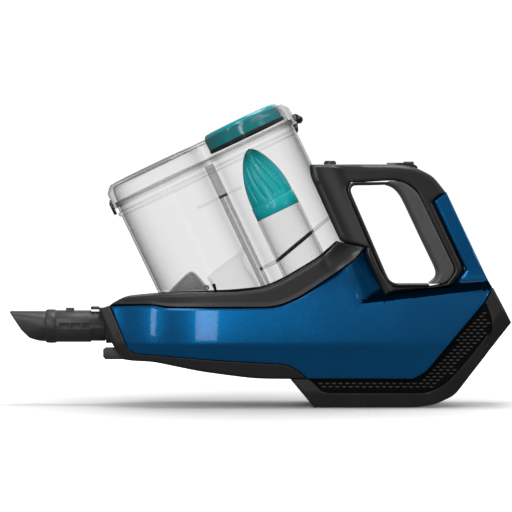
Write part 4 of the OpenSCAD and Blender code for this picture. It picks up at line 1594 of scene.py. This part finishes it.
@dataclass
class Handle:
    """Handle shells, grip liner and window band."""

    grip_half: float = 19.0
    column_half: float = 27.0
    bin: Bin = field(default_factory=Bin)

    def depth(self, x: float, z: float) -> float:
        """Return the half width: wide in the front column, narrow in the grip."""
        u, _ = to_bin(x, z)
        return self.column_half + (self.grip_half - self.column_half) * blend_between(u, 148.0, 176.0)

    def ribs(self) -> List[Rib]:
        """Ribs right round the window, from the outer edge to the inner edge.

        Returns:
            The ribs, in order.
        """
        return [
            Rib((124.5, 110.3), (134.5, 118.7), True), Rib((113, 133.6), (122, 134)),
            Rib((104.2, 153.5), (114.2, 152)),
            Rib((105.6, 157.4), (111.8, 157.6), True), Rib((92, 160.6), (108.3, 165.8)),
            Rib((78, 163.9), (104.6, 174.4), True),
            Rib((66.3, 191.8), (96, 194.4)), Rib((54.6, 219.8), (87.5, 214.6), True),
            Rib((51, 226), (88.4, 219.6)),
            Rib((51.2, 240.3), (92, 222.7), True), Rib((92, 240.5), (102, 222.8)),
            Rib((131, 240.5), (130.8, 224.6)),
            Rib((147, 239.4), (140, 224.2)), Rib((157.8, 236.8), (149.4, 220.4)),
            Rib((173.3, 228.7), (156.8, 214.2)),
            Rib((186.0, 212.6), (159.2, 209.4), True), Rib((174.2, 203.2), (162.6, 202.4), True),
            Rib((190, 169.8), (179.2, 168.8)), Rib((205.6, 136.4), (195.8, 135)),
            Rib((201.5, 128.4), (192.4, 130)),
            Rib((193.2, 119), (186, 121.8), True), Rib((176, 117), (171, 118.6)),
            Rib((158, 114.9), (156, 118.5)),
            Rib((142, 112.8), (142, 118.5)), Rib((124.5, 110.3), (134.5, 118.7), True),
        ]

    def shell(self, bench: Bench, side: Side) -> bpy.types.Object:
        """Build one handle shell and cut the bin's recess into it.

        Args:
            bench: The bench to work on.
            side: The side of the machine.

        Returns:
            The new piece.
        """
        form = RuledForm("handle_half_" + side.name.lower(), self.ribs(), self.depth, gap=4.0, rows=10,
                         low_round=6.5,
                         high_round=2.2, side=side, closed=True, rounds=3)
        shell = form.build(bench)
        bench.carve(shell, self.bin.prism(bench, "recess_tool", 0.5, 60.0, 300.0))
        return shell

    def liner(self, bench: Bench) -> bpy.types.Object:
        """Build the satin grip liner behind the fingers.

        Args:
            bench: The bench to work on.

        Returns:
            The new piece.
        """
        ribs = [
            Rib((130.2, 224.0), (126.9, 219.9), True), Rib((140.2, 224.0), (133.4, 217.8)),
            Rib((150, 219.6), (139.4, 212.4)),
            Rib((158.6, 211.4), (144, 204.6)), Rib((177, 173.3), (160.9, 168.6)),
            Rib((195.7, 134.6), (177.2, 135)),
            Rib((190.8, 128), (177.5, 128.5)), Rib((185.8, 121.7), (173.4, 125)),
            Rib((171, 121.6), (169.6, 121.8), True),
        ]
        return RuledForm("grip_pad", ribs, lambda x, z: self.depth(x, z) + 0.5, gap=3.0, rows=10,
                         low_round=2.2,
                         high_round=5.0, rounds=4).build(bench)

    def band(self, bench: Bench) -> bpy.types.Object:
        """Build the raised band round the rest of the window.

        Args:
            bench: The bench to work on.

        Returns:
            The new piece.
        """
        ribs = [
            Rib((129.6, 223.0), (127.0, 220.2), True), Rib((112, 222.8), (112, 219.8)),
            Rib((93.5, 222.8), (95, 219.6)),
            Rib((90.2, 221.3), (93.4, 218.9)), Rib((88.1, 217.8), (91.6, 217.2)),
            Rib((87.4, 214.3), (90.4, 214.8)),
            Rib((106, 171.2), (108.7, 172.6)), Rib((125.9, 124.8), (128.7, 126.2)),
            Rib((129, 121.4), (131.6, 124)),
            Rib((134.8, 118.6), (136, 121.4)), Rib((150, 118.5), (150, 121.5)),
            Rib((169.2, 118.6), (169.2, 121.5), True),
        ]
        return RuledForm("window_band", ribs, lambda x, z: self.depth(x, z) + 0.7, gap=3.0, rows=3,
                         low_round=0.9,
                         high_round=0.9, rounds=3).build(bench)

    def build(self, bench: Bench) -> None:
        """Build and dress the handle.

        Args:
            bench: The bench to work on.
        """
        for side in Side:
            bench.finish(self.shell(bench, side), FINISHES["handle_grey"], Body.HOUSING,
                         ["handle_shell_" + side.name.lower()], 28.0)
        bench.finish(self.liner(bench), FINISHES["grip_grey"], Body.HOUSING, ["grip_liner"])
        bench.finish(self.band(bench), FINISHES["trim_black"], Body.HOUSING, ["window_trim"])


# ---- Tool and small pieces ----


@dataclass
class CreviceTool:
    """The slanted tip, its collar and the sleeve that plugs into the nose."""

    level: float = 78.9
    radius: float = 15.5
    wall: float = 2.2
    back: float = -213.0
    front: float = -248.5
    flat_half: float = 12.0

    def section(self, x: float, inset: float) -> Ring:
        """Return one section of the tip: round at the back, flattened at the front.

        Args:
            x: Place along the machine.
            inset: How far inside the surface it lies.

        Returns:
            The ring's points.
        """
        t = blend_between(-x, -self.back, -self.front)
        half = self.radius + (self.flat_half - self.radius) * t - inset
        tall = self.radius - 0.4 - inset
        power = 2.0 / (2.0 + 1.2 * t)
        ring = []
        for i in range(72):
            a = 2 * math.pi * i / 72
            c, s = math.cos(a), math.sin(a)
            ring.append((x, half * math.copysign(abs(c) ** power, c), self.level
                         + tall * math.copysign(abs(s) ** power, s)))
        return ring

    def tip(self, bench: Bench) -> bpy.types.Object:
        """Build the tip and cut its slanted mouth.

        Args:
            bench: The bench to work on.

        Returns:
            The new piece.
        """
        stations = [self.back + (self.front - self.back) * i / 12 for i in range(13)]
        rings = [self.section(x, 0.0) for x in stations] + [self.section(x, self.wall)
                                                            for x in reversed(stations)]
        tip = bench.loft("slant_tip", rings + [rings[0]], True)
        mouth = [(-252, 92.6), (-248.5, 92.6), (-236.8, 75.4), (-228.6, 67.4), (-220.4, 64.6), (-216, 63.8),
                 (-216, 40),
                 (-252, 40)]
        bench.carve(tip, bench.prism("mouth_tool", mouth, -30, 30))
        bench.bevel(tip, 0.6, 2, 50.0)
        return tip

    def collar(self, bench: Bench) -> bpy.types.Object:
        """Build the bowed collar.

        Args:
            bench: The bench to work on.

        Returns:
            The new piece.
        """
        profile = [(11.8, -213), (15.9, -213), (16.4, -212.4), (16.8, -210.6), (16.9, -207.5), (16.8, -204.4),
                   (16.4, -202.6), (15.9, -202), (11.8, -202)]
        return bench.lathe("tool_ring", profile, lambda a, b, x: (x, a, self.level + b), 96, True)

    def build(self, bench: Bench) -> None:
        """Build and dress the tool.

        Args:
            bench: The bench to work on.
        """
        grey = FINISHES["tool_grey"]
        bench.finish(self.tip(bench), grey, Body.TOOL, ["tool_tip"], 40.0)
        bench.finish(self.collar(bench), grey, Body.TOOL, ["tool_collar"])
        bench.finish(bench.refined("tool_sleeve", "plug_sleeve", 0.6), grey, Body.TOOL, ["tool_sleeve"])


@dataclass
class SmallParts:
    """Controls, flap, socket and every inner piece, each rounded from its solid."""

    rows: Sequence[Tuple[str, str, str, Body, float]] = (
        ("tool_socket", "socket_tube", "tool_grey", Body.HOUSING, 0.6),
        ("connector_stub", "contact_block", "tool_grey", Body.HOUSING, 0.8),
        ("switch_bezel", "slider_bezel", "trim_black", Body.HOUSING, 0.6),
        ("power_slider", "slider_thumb", "button_grey", Body.SLIDER, 0.6),
        ("bin_release_button", "bin_button", "button_grey", Body.BIN_BUTTON, 0.6),
        ("tool_release_button", "nose_button", "button_grey", Body.TOOL_BUTTON, 0.5),
        ("inlet_elbow", "elbow_pipe", "inner_grey", Body.HOUSING, 0.6),
    )

    spring_foot: Point3 = (0.071, 0.0, 0.2245)
    spring_left: float = 0.6

    def flap(self, bench: Bench) -> bpy.types.Object:
        """Build the hooded flap over the inlet, with its rolled hinge edge.

        Args:
            bench: The bench to work on.

        Returns:
            The new piece.
        """
        outer = [(-89.4, 112.4), (-89.8, 113.8), (-82, 122), (-74.4, 129.6), (-70.6, 132.4), (-67, 133.5),
                 (-63.8, 131.4),
                 (-59, 126.4), (-54, 120.4), (-50.6, 118.6), (-49.8, 117), (-50.6, 115.2), (-54.4, 115)]
        inner = [(-88, 111), (-87.8, 113.4), (-81.2, 120.6), (-73.6, 128.2), (-70, 131), (-67.2, 131.9),
                 (-64.8, 130.2),
                 (-60.2, 125.4), (-55.4, 119), (-54.6, 117), (-55.4, 114.6), (-55, 111)]
        flap = bench.prism("flap_hump", outer, -13.6, 13.6)
        bench.bevel(flap, 0.8, 2, 40.0)
        bench.carve(flap, bench.prism("flap_tool", inner, -12.4, 12.4))
        return flap

    def build(self, bench: Bench) -> None:
        """Build the rounded pieces and dress every node that is carried over.

        Args:
            bench: The bench to work on.
        """
        bench.finish(self.flap(bench), FINISHES["smoke_flap"], Body.FLAP, ["inlet_flap"])
        for node, name, slot, body, width in self.rows:
            bench.finish(bench.refined(node, name, width), FINISHES[slot], body, [node])
        spring = bench.finish(bench.copied("bin_release_spring", "button_spring"), FINISHES["steel"],
                              Body.HOUSING,
                              ["bin_release_spring"])
        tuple(self.spring_foot)
        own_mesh(spring)
        slots = {row["node"]: row["material_slot"] for row in frame["record"]["subparts"]}
        for node, obj in frame["nodes"].items():
            bench.smooth(obj)
            obj.data.materials.clear()
            obj.data.materials.append(FINISHES[slots[node]].material())


# ---- Stage ----

LAMP_AIM = Vector((0, 0, 0.13))


@dataclass(frozen=True)
class Lamp:
    """A soft box hung round the machine and turned to its middle."""

    name: str
    place: Point3
    wide: float
    tall: float
    power: float

    def hang(self, scene: bpy.types.Scene) -> None:
        """Hang the lamp.

        Args:
            scene: The scene that is lit.
        """
        light = bpy.data.lights.new(self.name, "AREA")
        light.shape = "RECTANGLE"
        light.size = self.wide
        light.size_y = self.tall
        light.energy = self.power
        obj = bpy.data.objects.new(self.name, light)
        obj.location = self.place
        obj.rotation_euler = (LAMP_AIM - Vector(self.place)).to_track_quat("-Z", "Y").to_euler()
        obj.visible_camera = False
        scene.collection.objects.link(obj)


@dataclass
class Stage:
    """Pale floor, soft light and a long lens square to the left side."""

    centre: Point3 = (-3.0, 0.0, 149.0)
    distance: float = 3.0
    elevation: float = 1.0
    frame_width: float = 0.512
    sensor: float = 36.0
    floor_size: float = 8.0
    lamps: Sequence[Lamp] = (
        Lamp("key", (-0.7, -1.4, 1.3), 0.7, 0.7, 7.0), Lamp("fill", (1.5, -1.2, 0.7), 0.6, 0.6, 2.0),
        Lamp("top", (0.1, 0.0, 1.7), 0.9, 0.9, 14.0), Lamp("back", (0.3, 1.5, 1.0), 1.2, 1.2, 4.0),
        Lamp("nose_strip", (-1.0, -0.95, 0.34), 0.12, 0.5, 1.0), Lamp("side_strip", (-0.27, -1.6, 0.46),
                                                                      0.26, 0.84, 3.2),
    )

    def floor(self) -> None:
        """Lay a pale floor whose painted glow rises with distance from the machine: white towards the
        horizon, and dimmed near the machine as painted shade that deepens the lamps' shadow there.
        """
        bpy.ops.mesh.primitive_plane_add(size=self.floor_size, location=(0, 0, 0))
        floor = bpy.context.object
        floor.name = "floor"
        sketch = NodeSketch("floor_white")
        tone = sketch.ramp(sketch.noise(3.0, 2.0), [(0.3, (0.88, 0.88, 0.88)), (0.7, (0.92, 0.92, 0.92))])
        sketch.link(tone, sketch.shader.inputs["Base Color"])
        sketch.shader.inputs["Roughness"].default_value = 0.6
        sketch.shader.inputs["Emission Color"].default_value = (1, 1, 1, 1)
        # Painted light: the floor's emission is near nothing close to the machine and full white from 0.6 m
        # out. This paints both its glow and a darker pool round the machine.
        away = sketch.add("ShaderNodeVectorMath", operation="LENGTH")
        sketch.link(sketch.place, away.inputs[0])
        painted_glow = sketch.spread(away.outputs["Value"], 0.02, 1.0, 0.12, 0.6)
        sketch.link(painted_glow, sketch.shader.inputs["Emission Strength"])
        floor.data.materials.append(sketch.mat)
        floor.visible_diffuse = False
        floor.visible_glossy = False

    def camera(self, scene: bpy.types.Scene) -> None:
        """Set the camera up square to the left side, a little above the middle.

        Args:
            scene: The scene that is set up.
        """
        camera = bpy.data.cameras.new("camera")
        camera.sensor_width = self.sensor
        camera.lens = self.sensor * self.distance / self.frame_width
        camera.clip_end = 20.0
        eye = bpy.data.objects.new("camera", camera)
        target = Vector(self.centre) * MM
        lift = math.radians(self.elevation)
        eye.location = target + Vector((0, -self.distance * math.cos(lift), self.distance * math.sin(lift)))
        eye.rotation_euler = (target - eye.location).to_track_quat("-Z", "Y").to_euler()
        scene.collection.objects.link(eye)
        scene.camera = eye

    def sky(self, scene: bpy.types.Scene) -> None:
        """Hang a studio sky that looks white and lights softly, more from above than below.

        Args:
            scene: The scene that is set up.
        """
        world = bpy.data.worlds.new("studio")
        scene.world = world
        world.use_nodes = True
        tree = world.node_tree
        background = tree.nodes["Background"]
        background.inputs["Color"].default_value = (1, 1, 1, 1)
        height = tree.nodes.new("ShaderNodeSeparateXYZ")
        tree.links.new(tree.nodes.new("ShaderNodeTexCoord").outputs["Generated"], height.inputs["Vector"])
        dome = tree.nodes.new("ShaderNodeMapRange")
        for name, value in (("From Min", -0.25), ("From Max", 0.7), ("To Min", 0.13), ("To Max", 0.34)):
            dome.inputs[name].default_value = value
        tree.links.new(height.outputs["Z"], dome.inputs["Value"])
        path = tree.nodes.new("ShaderNodeLightPath")
        strength = tree.nodes.new("ShaderNodeMapRange")
        strength.inputs["To Max"].default_value = 1.05
        tree.links.new(dome.outputs["Result"], strength.inputs["To Min"])
        tree.links.new(path.outputs["Is Camera Ray"], strength.inputs["Value"])
        tree.links.new(strength.outputs["Result"], background.inputs["Strength"])
        scene.view_settings.view_transform = "Standard"

    def build(self) -> None:
        """Lay the floor, hang the lamps and set the camera."""
        scene = bpy.context.scene
        self.floor()
        self.sky(scene)
        for lamp in self.lamps:
            lamp.hang(scene)
        self.camera(scene)


def main() -> None:
    """Build the whole machine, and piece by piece."""
    logging.basicConfig(level=logging.INFO, format="%(message)s")
    bench = Bench()
    bench.only()
    Stage().build()
    for part in (Housing(), Handle(), Bin(), Lid(), CreviceTool(), SmallParts()):
        LOG.info("building %s", type(part).__name__)
        part.build(bench)


if __name__ == "__main__":
    main()
